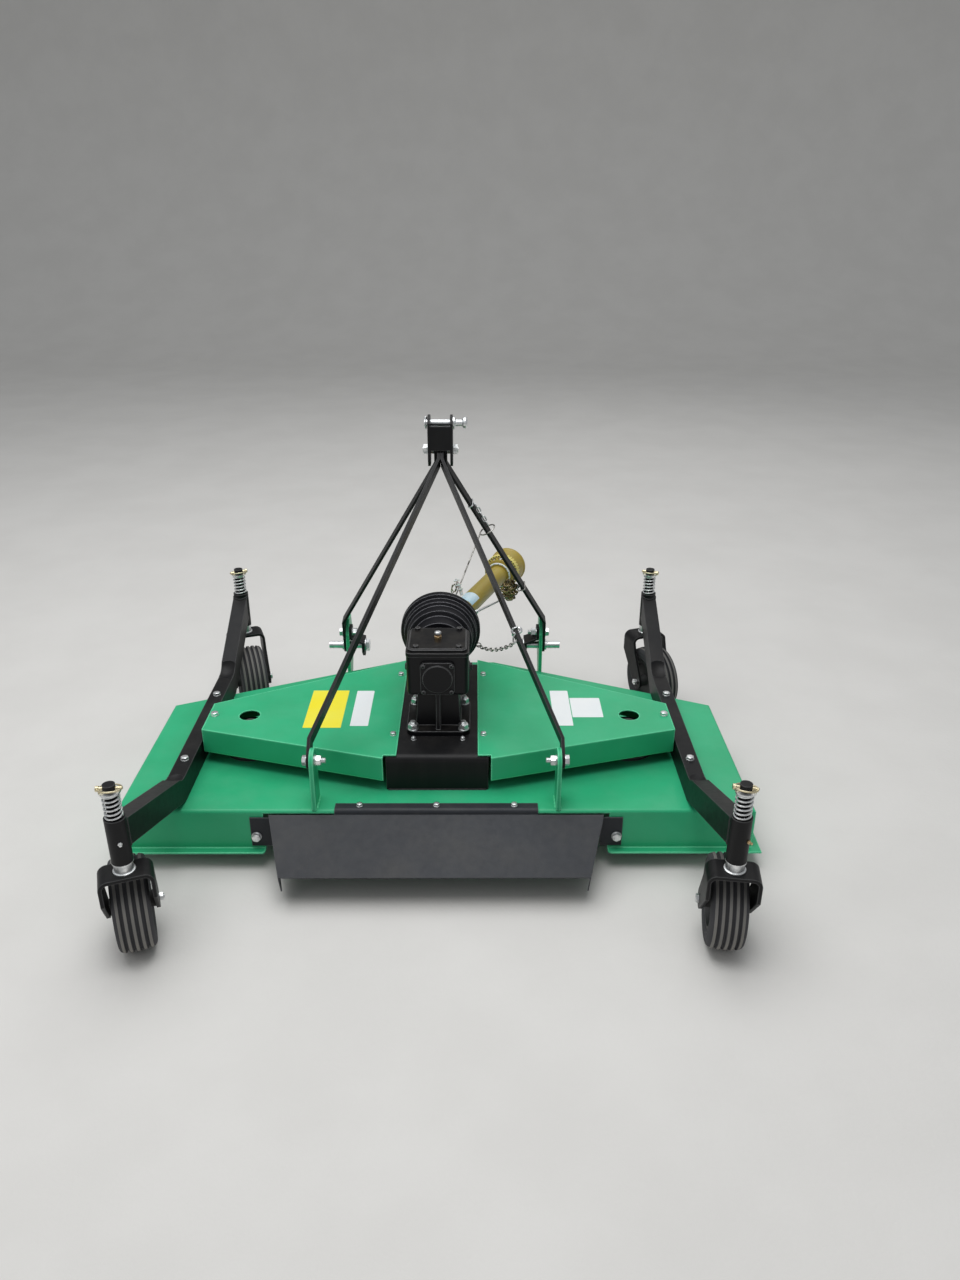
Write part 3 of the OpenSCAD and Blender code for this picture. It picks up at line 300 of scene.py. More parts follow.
@dataclass(frozen=True)
class SheetPaint:
    """Satin enamel on folded sheet and flat bar, with dust on top and a painted highlight along the folds."""

    name: str
    colour: Colour
    shade: Colour
    dust: Colour
    roughness: float
    coat: float
    dust_amount: float
    fold_highlight_gain: float
    gloss: float
    fold: float = 0.0036

    def build(self) -> bpy.types.Material:
        """Builds the paint.

        Returns:
            The material.
        """
        t = ShaderTree(self.name)
        normal, edge = t.edges(self.fold)
        mottle = t.noise(5.0, 5.0).smooth(0.3, 0.7)
        streaks = t.noise(26.0, 4.0, stretch=(1.0, 1.0, 0.12)).smooth(0.45, 0.75)
        speck = t.noise(420.0, 2.0).smooth(0.62, 0.72)
        colour = t.mix(mottle, self.shade, self.colour)
        # painted highlight: near folds and edges the colour is mixed towards a pale tone
        colour = t.mix(edge * self.fold_highlight_gain, colour, highlight_tone(self.colour, 1.9))
        up = t.facing_up().smooth(0.3, 0.9)
        patches = t.noise(9.0, 6.0, 0.65).smooth(0.38, 0.72)
        settled = (up * patches + streaks * (1.0 - up) * 0.35) * self.dust_amount
        grime = (settled + speck * up * self.dust_amount * 0.6).clamped()
        colour = t.mix(grime, colour, self.dust)
        rough = self.roughness + grime * 0.3 + t.noise(60.0, 3.0).smooth(0.3, 0.8) * 0.06
        peel = t.noise(260.0, 2.0) * 0.6 + t.noise(14.0, 2.0) * 2.0
        return t.finish(Base_Color=colour, Roughness=rough.clamped(), Coat_Weight=self.coat,
                        Coat_Roughness=0.16, Specular_IOR_Level=self.gloss,
                        Normal=t.bump(peel, 0.00012, normal))


@dataclass(frozen=True)
class Zinc:
    """Zinc plating on bolts, washers, pins and springs."""

    name: str
    bright: Colour
    dull: Colour
    roughness: float

    def build(self) -> bpy.types.Material:
        """Builds the plating.

        Returns:
            The material.
        """
        t = ShaderTree(self.name)
        normal, edge = t.edges(0.0006)
        bloom = t.noise(70.0, 5.0, 0.6).smooth(0.35, 0.7)
        grain = t.noise(900.0, 2.0)
        colour = t.mix(bloom, self.bright, self.dull)
        colour = t.mix(edge * 0.5, colour, WORN_PLATING)
        rough = self.roughness + bloom * 0.18 + grain * 0.08
        return t.finish(Base_Color=colour, Metallic=1.0, Roughness=rough.clamped(),
                        Normal=t.bump(grain, 0.00004, normal))


@dataclass(frozen=True)
class Casting:
    """Painted or bare cast iron with the sand's grain, and a painted highlight along its edges."""

    name: str
    colour: Colour
    dust: Colour
    roughness: float
    grain: float
    dust_amount: float
    gloss: float

    def build(self) -> bpy.types.Material:
        """Builds the casting.

        Returns:
            The material.
        """
        t = ShaderTree(self.name)
        normal, edge = t.edges(0.0034)
        sand = t.noise(380.0, 4.0, 0.6)
        lumps = t.noise(40.0, 3.0)
        up = t.facing_up().smooth(0.2, 0.9)
        settled = (up * t.noise(24.0, 5.0, 0.65).smooth(0.35, 0.7) * self.dust_amount).clamped()
        # painted highlight: the edges are mixed towards a pale tone
        colour = t.mix(edge * 0.85, self.colour, highlight_tone(self.colour, 2.2))
        colour = t.mix(settled, colour, self.dust)
        rough = self.roughness + settled * 0.3 + sand * 0.12
        return t.finish(Base_Color=colour, Roughness=rough.clamped(), Specular_IOR_Level=self.gloss,
                        Normal=t.bump(sand * 0.8 + lumps * 1.6, self.grain, normal))


@dataclass(frozen=True)
class BareSteel:
    """Machined or rolled steel with a film of oil and rust."""

    name: str
    colour: Colour
    rust: Colour
    roughness: float
    rust_amount: float

    def build(self) -> bpy.types.Material:
        """Builds the steel.

        Returns:
            The material.
        """
        t = ShaderTree(self.name)
        normal, edge = t.edges(0.0008)
        stain = (t.noise(32.0, 6.0, 0.7).smooth(0.45, 0.75) * self.rust_amount).clamped()
        lay = t.noise(240.0, 3.0, stretch=(1.0, 0.08, 1.0))
        colour = t.mix(edge * 0.4, self.colour, WORN_STEEL)
        colour = t.mix(stain, colour, self.rust)
        rough = self.roughness + stain * 0.35 + lay * 0.1
        return t.finish(Base_Color=colour, Metallic=(1.0 - stain * 0.8).clamped(), Roughness=rough.clamped(),
                        Normal=t.bump(lay, 0.00005, normal))


@dataclass(frozen=True)
class Moulding:
    """Moulded plastic or rubber with a fine grain and dust in it, paler rims of wear, and on the bell a painted
    highlight along the step edges.
    """

    name: str
    colour: Colour
    dust_and_rim_highlight: Colour
    roughness: float
    grain: float
    dust_amount: float
    clear: float = 0.0
    gloss: float = 0.45
    rim_wear_and_highlight: float = 0.3
    rim_radius: float = 0.001

    def build(self) -> bpy.types.Material:
        """Builds the moulding.

        Returns:
            The material.
        """
        t = ShaderTree(self.name)
        normal, edge = t.edges(self.rim_radius)
        fine = t.noise(700.0, 2.0)
        wide = t.noise(12.0, 5.0, 0.6).smooth(0.3, 0.72)
        low = 1.0 - t.height().smooth(0.0, 0.16)
        settled = ((wide * 0.7 + low * 0.5) * self.dust_amount).clamped()
        colour = t.mix(settled, self.colour, self.dust_and_rim_highlight)
        # paler rims: edge wear, and on the bell a painted highlight
        colour = t.mix(edge * self.rim_wear_and_highlight, colour, self.dust_and_rim_highlight)
        rough = self.roughness + settled * 0.2 + fine * 0.08
        return t.finish(Base_Color=colour, Roughness=rough.clamped(), Specular_IOR_Level=self.gloss,
                        Subsurface_Weight=self.clear, Normal=t.bump(fine, self.grain, normal))


@dataclass(frozen=True)
class Label:
    """Blank vinyl, washed out in places, with a few scuffs."""

    name: str
    colour: Colour
    wash: Colour
    roughness: float

    def build(self) -> bpy.types.Material:
        """Builds the vinyl.

        Returns:
            The material.
        """
        t = ShaderTree(self.name)
        cloud = t.noise(7.0, 3.0).smooth(0.35, 0.65)
        scuff = t.noise(120.0, 5.0, 0.7).smooth(0.62, 0.8)
        colour = t.mix(cloud * 0.6, self.colour, self.wash)
        colour = t.mix(scuff * 0.35, colour, SCUFFED_VINYL)
        return t.finish(Base_Color=colour, Roughness=(self.roughness + scuff * 0.3).clamped(),
                        Specular_IOR_Level=0.5, Normal=t.bump(t.noise(160.0, 2.0), 0.00006))


class Finish(Enum):
    """The finishes of the mower, by the surfaces that wear them."""

    # name, colour, shade, dust, roughness, coat, dust_amount, fold_highlight_gain, gloss, fold
    GREEN = SheetPaint("green_enamel", (0.030, 0.44, 0.205), (0.024, 0.38, 0.170), (0.16, 0.42, 0.27),
                       0.34, 0.10, 0.14, 0.90, 0.28, 0.0060)
    BLACK = SheetPaint("black_enamel", (0.006, 0.006, 0.007), (0.005, 0.005, 0.0055), (0.12, 0.11, 0.10),
                       0.46, 0.02, 0.10, 0.50, 0.22)
    FLAP = SheetPaint("grey_flap", (0.021, 0.024, 0.030), (0.017, 0.019, 0.024), (0.16, 0.15, 0.13),
                      0.46, 0.02, 0.14, 0.50, 0.26)

    # name, bright, dull, roughness
    ZINC = Zinc("zinc_plate", (0.86, 0.87, 0.87), (0.58, 0.60, 0.61), 0.26)
    YELLOW_ZINC = Zinc("yellow_zinc", (0.83, 0.74, 0.50), (0.60, 0.52, 0.33), 0.28)
    BRASS = Zinc("brass", (0.72, 0.50, 0.24), (0.50, 0.34, 0.17), 0.30)
    # BROWN_ZINC is brown plating whose near-black dull patches are painted shade for the gaps between the bunched
    # links
    BROWN_ZINC = Zinc("brown_zinc", (0.44, 0.33, 0.14), (0.016, 0.010, 0.006), 0.34)
    CHAIN_ZINC = Zinc("dull_chain_zinc", (0.66, 0.64, 0.60), (0.09, 0.08, 0.07), 0.36)

    # name, colour, dust, roughness, grain, dust_amount, gloss
    GEAR = Casting("gearbox_black", (0.004, 0.004, 0.005), DUST, 0.26, 0.00014, 0.05, 0.22)
    IRON = Casting("spindle_iron", (0.030, 0.030, 0.032), DUST, 0.5, 0.0003, 0.25, 0.35)

    # name, colour, rust, roughness, rust_amount
    STEEL = BareSteel("bare_steel", (0.34, 0.33, 0.32), (0.16, 0.075, 0.035), 0.36, 0.6)

    # name, colour, dust_and_rim_highlight, roughness, grain, dust_amount, clear, gloss, rim_wear_and_highlight,
    # rim_radius
    BELT = Moulding("belt_rubber", (0.02, 0.02, 0.021), (0.08, 0.075, 0.07), 0.7, 0.00006, 0.4)
    TYRE = Moulding("tyre_rubber", (0.009, 0.009, 0.010), (0.060, 0.052, 0.046), 0.58, 0.00008, 0.35,
                    0.0, 0.18)
    TREAD = Moulding("scuffed_tread", (0.150, 0.146, 0.140), (0.26, 0.245, 0.22), 0.60, 0.00010, 0.6,
                     0.0, 0.3)
    CLEAR = Moulding("clear_plastic", (0.72, 0.74, 0.72), (0.60, 0.60, 0.56), 0.30, 0.00004, 0.25, 0.2)
    PLASTIC = Moulding("black_plastic", (0.006, 0.006, 0.008), (0.05, 0.048, 0.045), 0.36, 0.00006, 0.14,
                       0.0, 0.26)
    # the bell's pale rim tone and strong rim mix paint a highlight along its step edges
    BELL = Moulding("bell_plastic", (0.0045, 0.0045, 0.0065), (0.28, 0.28, 0.30), 0.42, 0.00005, 0.03,
                    0.0, 0.16, 0.95, 0.0032)
    YELLOW = Moulding("olive_plastic", (0.37, 0.275, 0.045), (0.26, 0.20, 0.055), 0.34, 0.00005, 0.35, 0.05)
    PALE_YELLOW = Moulding("pale_ring_plastic", (0.76, 0.66, 0.20), (0.52, 0.43, 0.13), 0.36, 0.00005, 0.3,
                           0.05)

    # name, colour, wash, roughness
    LABEL_YELLOW = Label("yellow_vinyl", (0.90, 0.78, 0.02), (0.85, 0.80, 0.10), 0.32)
    LABEL_WHITE = Label("white_vinyl", (0.82, 0.84, 0.84), (0.74, 0.79, 0.80), 0.34)
    LABEL_BLUE = Label("blue_vinyl", (0.42, 0.66, 0.78), (0.80, 0.87, 0.90), 0.30)

    @property
    def material(self) -> bpy.types.Material:
        """The finish's material, built the first time it is asked for."""
        found = bpy.data.materials.get(self.value.name)
        return found if found else self.value.build()

    @property
    def slot(self) -> str:
        """The record's material slot that a new piece in this finish follows.

        Returns:
            The slot's name.
        """
        near = {Finish.GEAR: Slot.BLACK, Finish.BELL: Slot.PLASTIC, Finish.TREAD: Slot.TYRE}
        near.update(dict.fromkeys((Finish.YELLOW_ZINC, Finish.BRASS, Finish.BROWN_ZINC, Finish.CHAIN_ZINC),
                                  Slot.ZINC))
        near.update(dict.fromkeys((Finish.CLEAR, Finish.PALE_YELLOW, Finish.LABEL_YELLOW, Finish.LABEL_WHITE,
                                   Finish.LABEL_BLUE), Slot.YELLOW))
        slot = near.get(self) or next(slot for slot in Slot if slot.value[1] is self)
        return slot.value[0]


class Slot(Enum):
    """The record's material slots, with the finish each one shows."""

    GREEN = ("green_paint", Finish.GREEN)
    BLACK = ("black_paint", Finish.BLACK)
    FLAP = ("grey_paint", Finish.FLAP)
    ZINC = ("zinc", Finish.ZINC)
    STEEL = ("bare_steel", Finish.STEEL)
    IRON = ("cast_iron", Finish.IRON)
    BELT = ("belt_rubber", Finish.BELT)
    TYRE = ("tyre_rubber", Finish.TYRE)
    PLASTIC = ("black_plastic", Finish.PLASTIC)
    YELLOW = ("yellow_plastic", Finish.YELLOW)


# --------------------------------------------------------------------------- mesh making


def angles_round(steps: int) -> list[float]:
    """Even angles of one full turn, in radians."""
    return [2 * math.pi * k / steps for k in range(steps)]


def oval(middle: Vector, u: Vector, v: Vector, wide: float, tall: float, steps: int) -> list[Vector]:
    """Points of an oval that reaches wide along u and tall along v."""
    return [middle + u * (wide * math.cos(a)) + v * (tall * math.sin(a)) for a in angles_round(steps)]


def basis(axis: Vector, hint: Vector | None = None) -> tuple[Vector, Vector, Vector]:
    """Finds two directions square to an axis.

    Args:
        axis: The axis.
        hint: A direction that the first one leans to.

    Returns:
        Both directions and the unit axis.
    """
    w = axis.normalized()
    lean = hint if hint is not None else UP if abs(w.z) < 0.9 else RIGHT
    u = (lean - w * lean.dot(w)).normalized()
    return u, w.cross(u), w


@dataclass(frozen=True)
class Links:
    """Diameter of a chain's wire, and the outside sizes of one link."""

    wire: float
    length: float
    width: float


class Stock:
    """A mesh being made, in the machine's own millimetres."""

    def __init__(self) -> None:
        """Starts with an empty mesh."""
        self.bm = bmesh.new()

    def skin(self, rings: Sequence[Sequence[Vector]], closed: bool = False) -> None:
        """Joins rings of points into one closed skin.

        Args:
            rings: Rings in order; one of a single point is a pole, and an end ring of more is capped.
            closed: Whether the last ring joins the first.
        """
        made = [[self.bm.verts.new(point) for point in ring] for ring in rings]
        pairs = list(zip(made, made[1:])) + ([(made[-1], made[0])] if closed else [])
        for a, b in pairs:
            for i in range(max(len(a), len(b))):
                corners = (a[i % len(a)], a[(i + 1) % len(a)], b[(i + 1) % len(b)], b[i % len(b)])
                self.bm.faces.new(list(dict.fromkeys(corners)))
        for ring in () if closed else (made[0], made[-1]):
            if len(ring) > 2:
                self.bm.faces.new(ring)

    def lathe(self, at: Vector, axis: Vector, profile: Sequence[tuple[float, float]], sides: int = 32,
              closed: bool = False) -> None:
        """Turns a profile round an axis.

        Args:
            at: The profile's origin.
            axis: The direction that the profile runs along.
            profile: Points of radius and distance along the axis.
            sides: How many facets it has round.
            closed: Whether the profile is a closed loop, as for a washer.
        """
        u, v, w = basis(axis)
        self.skin([oval(at + w * along, u, v, radius, radius, sides if radius > 0 else 1)
                   for radius, along in profile], closed)

    def hexagon(self, at: Vector, axis: Vector, flats: float, height: float, turn: float = 0.0,
                both_ends: bool = False) -> None:
        """Stands a hexagon whose corners are chamfered as on a forged bolt head.

        Args:
            at: The middle of its foot.
            axis: The direction that it stands in.
            flats: Its width across the flats.
            height: Its height.
            turn: Its angle in degrees.
            both_ends: Whether the foot is chamfered too, as on a nut.
        """
        u, v, w = basis(axis)
        angles = [10 * i for i in range(36)]
        reach = [flats / 2 / math.cos(math.radians((a + 30) % 60 - 30)) for a in angles]
        flat_r = flats * 0.475
        drop = [(r - flat_r) * 0.5 for r in reach]
        turned = [math.radians(a + turn) for a in angles]

        def ring(radii: Sequence[float], heights: Sequence[float]) -> list[Vector]:
            """Points round the hexagon at these radii and heights."""
            return [at + w * h + (u * math.cos(a) + v * math.sin(a)) * r
                    for a, r, h in zip(turned, radii, heights)]

        count = len(angles)
        foot = [ring(reach, [0.0] * count)]
        if both_ends:
            foot = [ring([flat_r] * count, [0.0] * count), ring(reach, drop)]
        top = [ring(reach, [height - d for d in drop]), ring([flat_r] * count, [height] * count)]
        self.skin(foot + top)

    def sweep(self, path: Sequence[Vector], radius: Union[float, Sequence[float]], sides: int = 10,
              closed: bool = False, up: Vector | None = None) -> None:
        """Sweeps a round section along a path.

        Args:
            path: The path's points.
            radius: The section's radius, one or one for each point.
            sides: How many facets it has round.
            closed: Whether the path is a loop.
            up: A direction kept square to the path, for a flat loop or a coil.
        """
        count = len(path)
        side = None
        rings = []
        for i, point in enumerate(path):
            after = path[(i + 1) % count] if closed or i + 1 < count else point
            before = path[i - 1] if closed or i > 0 else point
            along = (after - before).normalized()
            hint = up if up is not None else side
            side, other, _ = basis(along, hint)
            r = radius[i] if isinstance(radius, (list, tuple)) else radius
            rings.append(oval(point, side, other, r, r, sides))
        self.skin(rings, closed)

    def loop(self, path: Sequence[Vector], radius: float, flat: Vector) -> None:
        """Bends a wire into a closed loop that faces a direction."""
        self.sweep(path, radius, WIRE_SIDES, True, flat)

    def prism(self, outline: Sequence[tuple[float, float]], at: Vector, u: Vector, v: Vector, depth: float,
              bevel: float = 0.0) -> None:
        """Raises a flat outline into a plate with chamfered top edges.

        Args:
            outline: Points along u and v, anticlockwise.
            at: The outline's origin.
            u: The outline's first direction.
            v: The outline's second direction.
            depth: The plate's thickness, along u cross v.
            bevel: How wide its top edges' chamfer is.
        """
        w = u.cross(v).normalized()
        middle = sum((Vector(p) for p in outline), Vector((0, 0))) / len(outline)
        span = max((Vector(p) - middle).length for p in outline)
        shrink = 1 - bevel / span

        def ring(share: float, height: float) -> list[Vector]:
            """The outline shrunk to its middle, at a height."""
            moved = [middle + (Vector(p) - middle) * share for p in outline]
            return [at + u * p.x + v * p.y + w * height for p in moved]

        chamfer = [ring(shrink, depth)] if bevel else []
        self.skin([ring(1, 0), ring(1, depth - bevel), *chamfer])

    def bead(self, path: Sequence[Vector], radius: float, pitch: float = 4.5) -> None:
        """Lays a weld of overlapping ripples along a path.

        Args:
            path: The seam's points.
            radius: The weld's radius.
            pitch: The distance from ripple to ripple.
        """
        points: list[Vector] = []
        radii: list[float] = []
        run = 0.0
        for a, b in zip(path, path[1:]):
            steps = max(1, round((b - a).length / (pitch / 4)))
            for k in range(steps):
                share = k / steps
                here = run + (b - a).length * share
                ripple = abs(math.sin(math.pi * here / pitch))
                wander = 0.1 * math.sin(here * 0.37) + 0.07 * math.sin(here * 0.91 + 2)
                points.append(a.lerp(b, share))
                radii.append(radius * (0.82 + 0.2 * ripple + wander))
            run += (b - a).length
        points.append(path[-1])
        radii.append(radius * 0.6)
        radii[0] = radius * 0.6
        self.sweep(points, radii, WIRE_SIDES)

    def chain(self, path: Sequence[Vector], links: Links) -> None:
        """Hangs a chain of welded links along a path.

        Args:
            path: Points that the chain follows.
            links: The links' sizes.
        """
        pitch = links.length - 2 * links.wire
        lengths = [0.0]
        for a, b in zip(path, path[1:]):
            lengths.append(lengths[-1] + (b - a).length)
        count = max(1, round(lengths[-1] / pitch))

        def at_length(s: float) -> Vector:
            """The path's point at a length."""
            i = next((i for i in range(len(path) - 1) if s <= lengths[i + 1]), len(path) - 2)
            return path[i].lerp(path[i + 1], (s - lengths[i]) / (lengths[i + 1] - lengths[i]))

        half_w = (links.width - links.wire) / 2
        for i in range(count):
            a = at_length(lengths[-1] * i / count)
            b = at_length(lengths[-1] * (i + 1) / count)
            u, v, w = basis(b - a)
            across, normal = (u, v) if i % 2 else (v, u)
            shift = (b - a).length / 2 + links.wire / 2 - half_w * 1.35
            ends = oval((a + b) / 2, w, across, half_w, half_w, 20)
            self.loop([end + w * (shift if math.cos(angle) >= 0 else -shift)
                       for end, angle in zip(ends, angles_round(20))], links.wire / 2, normal)


def rounded_box(width: float, length: float, corner: float, steps: int = 4) -> Profile:
    """Outline of a rectangle with round corners, anticlockwise about its middle.

    Args:
        width: Its size along the first direction.
        length: Its size along the second.
        corner: The corners' radius.
        steps: How many steps each corner has.

    Returns:
        The outline's points.
    """
    outline = []
    for quarter, (sx, sy) in enumerate(((1, 1), (-1, 1), (-1, -1), (1, -1))):
        for k in range(steps + 1):
            a = math.pi / 2 * (quarter + k / steps)
            outline.append((sx * (width / 2 - corner) + corner * math.cos(a),
                            sy * (length / 2 - corner) + corner * math.sin(a)))
    return outline


# --------------------------------------------------------------------------- the machine's frame


@dataclass
class Machine:
    """The loaded frame, with the shift from the machine's own millimetres to the row's metres."""

    nodes: dict
    record: dict
    middle: float
    special: dict = field(default_factory=lambda: {
        "gearbox_housing": Finish.GEAR, "gearbox_covers": Finish.GEAR, "input_bell": Finish.BELL,
        "shaft_holder": Finish.CHAIN_ZINC})

    @classmethod
    def load(cls) -> "Machine":
        """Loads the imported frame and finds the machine's own origin from its wheel arms.

        Returns:
            The machine.
        """
        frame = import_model()
        low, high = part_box("wheel_arms")
        return cls(frame["nodes"], frame["record"], (low[1] + high[1]) / 2)

    def spot(self, x: float, y: float, z: float) -> Vector:
        """Turns a place in the machine's millimetres into row metres."""
        return Vector((x * MM, y * MM + self.middle, z * MM))

    def dress(self) -> None:
        """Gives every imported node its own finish, or else that of its slot."""
        finishes = dict(slot.value for slot in Slot)
        for part in self.record["subparts"]:
            node = part["node"]
            finish = self.special.get(node, finishes[part["material_slot"]])
            materials = self.nodes[node].data.materials
            materials.clear()
            materials.append(finish.material)
            LOG.info("%s wears %s", node, finish.value.name)

    def mount(self, stock: Stock, name: str, finish: Finish, body: str = "frame",
              replaces: Sequence[str] = ()) -> bpy.types.Object:
        """Turns a finished mesh into a piece that rides on a body.

        Args:
            stock: The mesh, in millimetres.
            name: The piece's name.
            finish: Its finish.
            body: The CAD body that it moves with.
            replaces: CAD nodes that it stands for.

        Returns:
            The new piece.
        """
        bm = stock.bm
        bmesh.ops.recalc_face_normals(bm, faces=bm.faces)
        for vert in bm.verts:
            vert.co = self.spot(*vert.co)
        mesh = bpy.data.meshes.new(name)
        bm.to_mesh(mesh)
        bm.free()
        mesh.shade_smooth()
        mesh.set_sharp_from_angle(angle=SHARP_ANGLE)
        mesh.materials.append(finish.material)
        obj = bpy.data.objects.new(name, mesh)
        bpy.context.scene.collection.objects.link(obj)
        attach(obj, body)
        finish.slot
        if replaces:
            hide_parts(*replaces)
        LOG.info("%s: %d faces on %s", name, len(mesh.polygons), body)
        return obj


# --------------------------------------------------------------------------- fasteners


@dataclass(frozen=True)
class Metric:
    """Standard sizes of one metric thread, with its bolt's head, its nut and its washer."""

    thread: float
    flats: float
    head: float
    nut: float
    washer: float
    washer_t: float
    pitch: float


class Size(Enum):
    """The threads on the machine."""

    M6 = Metric(6, 10, 4, 5.2, 12.5, 1.6, 1.0)
    M8 = Metric(8, 13, 5.3, 6.8, 16, 1.6, 1.25)
    M10 = Metric(10, 17, 6.4, 8.4, 20, 2.0, 1.5)
    M12 = Metric(12, 19, 7.5, 10.8, 24, 2.5, 1.75)
    M14 = Metric(14, 22, 8.8, 12.8, 27, 2.5, 2.0)


class FastenerSet(Stock):
    """Bolts and nuts gathered in one mesh."""

    def washer(self, at: Vector, axis: Vector, size: Metric) -> Vector:
        """Lays a washer and returns the middle of its top.

        Args:
            at: The middle of its foot.
            axis: The direction out of the work.
            size: The sizes of its thread.

        Returns:
            The middle of its top.
        """
        edge = 0.3
        inner, outer, thick = size.thread / 2 + edge, size.washer / 2, size.washer_t
        profile = [(inner, 0), (outer, 0), (outer, thick - edge), (outer - edge, thick), (inner, thick)]
        self.lathe(at, axis, profile, 28, True)
        return at + axis.normalized() * thick

    def head(self, at: Vector, axis: Vector, size: Size, turn: float = 0.0, washer: bool = True) -> None:
        """Seats a bolt's head.

        Args:
            at: Where the head's underside, or its washer's, meets the work.
            axis: The direction out of the work.
            size: The thread.
            turn: The head's angle in degrees.
            washer: Whether it has one.
        """
        s = size.value
        foot = self.washer(at, axis, s) if washer else at
        self.hexagon(foot, axis, s.flats, s.head, turn)
        crown = [(s.flats * 0.36, -0.2), (s.flats * 0.34, 0.35), (s.flats * 0.2, 0.5), (0, 0.55)]
        self.lathe(foot + axis.normalized() * s.head, axis, crown, 24)

    def nut(self, at: Vector, axis: Vector, size: Size, turn: float = 0.0, stub: float = 6.0,
            washer: bool = True) -> None:
        """Seats a nut with the end of its thread showing.

        Args:
            at: Where the nut, or its washer, meets the work.
            axis: The direction out of the work.
            size: The thread.
            turn: The nut's angle in degrees.
            stub: How far the thread stands out of the nut.
            washer: Whether it has one.
        """
        s = size.value
        foot = self.washer(at, axis, s) if washer else at
        self.hexagon(foot, axis, s.flats, s.nut, turn, True)
        end = foot + axis.normalized() * s.nut
        crest, root = s.thread / 2, s.thread / 2 - 0.5 * s.pitch
        profile = [(crest, -1.0)]
        for k in range(int(stub / s.pitch)):
            profile += [(crest, k * s.pitch + 0.15), (root, (k + 0.5) * s.pitch)]
        profile += [(crest - 0.6, stub), (0, stub)]
        self.lathe(end, axis, profile, 20)

    def linch_pin(self, at: Vector, axis: Vector, ring_up: Vector, reach: float, ring_d: float, wire: float,
                  shank: float) -> None:
        """Sets a linch pin: its shank through a bar, its block, and its sprung ring.

        Args:
            at: The middle of the bar.
            axis: The direction of the shank, from its tip to its block.
            ring_up: The direction that the ring's plane faces.
            reach: Half the shank's length.
            ring_d: The ring's diameter along its middle line.
            wire: The ring's thickness.
            shank: The shank's diameter.
        """
        u, v, w = basis(axis, ring_up)
        block, end, block_r = 7, 2 * reach, shank * 0.78
        self.lathe(at - w * reach, w, [(0, 0), (shank * 0.3, 0.4), (shank / 2, 2.5), (shank / 2, end - block),
                                       (block_r, end - block + 0.6), (block_r, end - 0.8), (shank * 0.6, end),
                                       (0, end)], 20)
        middle = at + w * (reach - 3.6 - ring_d / 2)
        self.loop(oval(middle, w, v, ring_d / 2, ring_d / 2, 40), wire / 2, u)


# --------------------------------------------------------------------------- sub-assemblies


@dataclass
class DeckBolts:
    """Bolts through the wheel arms, the covers, the bridge and the discharge guard."""

    machine: Machine
    arm_x: float = ARM_X
    arm_top: float = 215.0
    arm_y: tuple[float, float] = (203.0, -128.0)
    cover_top: float = COVER_TOP
    cover_spots: tuple[tuple[float, float], ...] = ((112.0, -71.0), (114.0, 254.0))
    tip_spot: tuple[float, float] = (578.0, 28.0)
    bridge_top: float = 248.0
    bridge_spot: tuple[float, float] = (60.5, -89.0)
    foot_spot: Place = (428.0, -261.3, 85.0)
    foot_inside: float = -254.0
    tab_x: tuple[float, ...] = (-182.0, 0.0, 184.0)
    tab_y: float = -242.0
    tab_z: float = 158.3
    deck_under: float = DECK_UNDER

    def make(self) -> None:
        """Makes the bolts of each kind as one piece."""
        arms, covers, guard = FastenerSet(), FastenerSet(), FastenerSet()
        (tip_x, tip_y), (bridge_x, bridge_y) = self.tip_spot, self.bridge_spot
        foot_x, foot_y, foot_z = self.foot_spot
        for side in (-1, 1):
            for k, y in enumerate(self.arm_y):
                arms.head(Vector((side * self.arm_x, y, self.arm_top)), UP, Size.M10, 11 * side + 37 * k)
                arms.nut(Vector((side * self.arm_x, y, self.deck_under)), -UP, Size.M10, 20 * k, 7)
            for k, (x, y) in enumerate(self.cover_spots):
                covers.head(Vector((side * x, y, self.cover_top)), UP, Size.M8, 23 * k + 9 * side)
            covers.head(Vector((side * tip_x, tip_y, self.cover_top)), UP, Size.M10, 14 + side * 7)
            covers.nut(Vector((side * bridge_x, bridge_y, self.bridge_top)), UP, Size.M6, 12, 2)
            guard.head(Vector((side * foot_x, foot_y, foot_z)), BACK, Size.M12, 8 + 21 * side)
            guard.nut(Vector((side * foot_x, self.foot_inside, foot_z)), -BACK, Size.M12, 5, 7)
        for k, x in enumerate(self.tab_x):
            guard.head(Vector((x, self.tab_y, self.tab_z)), UP, Size.M8, 17 * k)
            guard.nut(Vector((x, self.tab_y, self.deck_under)), -UP, Size.M8, 7 * k, 5)
        self.machine.mount(arms, "arm_bolts", Finish.ZINC)
        self.machine.mount(covers, "cover_bolts", Finish.ZINC)
        self.machine.mount(guard, "guard_bolts", Finish.ZINC)


@dataclass
class LugBolts:
    """Bolts that hold the braces to the four welded lugs."""

    machine: Machine
    outer_x: float = 300.0
    rear: tuple[float, float] = (-228.0, 275.0)
    rear_inner_x: float = 282.0
    front: tuple[float, float] = (481.95, 277.0)
    front_inner_x: float = 274.0

    def make(self) -> None:
        """Makes the heads outside, and the nuts and thread ends inside."""
        bolts = FastenerSet()
        for side in (-1, 1):
            out = RIGHT * side
            for (y, z), inner, turn in ((self.rear, self.rear_inner_x, 10),
                                        (self.front, self.front_inner_x, 31)):
                bolts.head(Vector((side * self.outer_x, y, z)), out, Size.M14, turn)
                bolts.nut(Vector((side * inner, y, z)), -out, Size.M14, turn + 17, 10)
        self.machine.mount(bolts, "lug_bolts", Finish.ZINC)


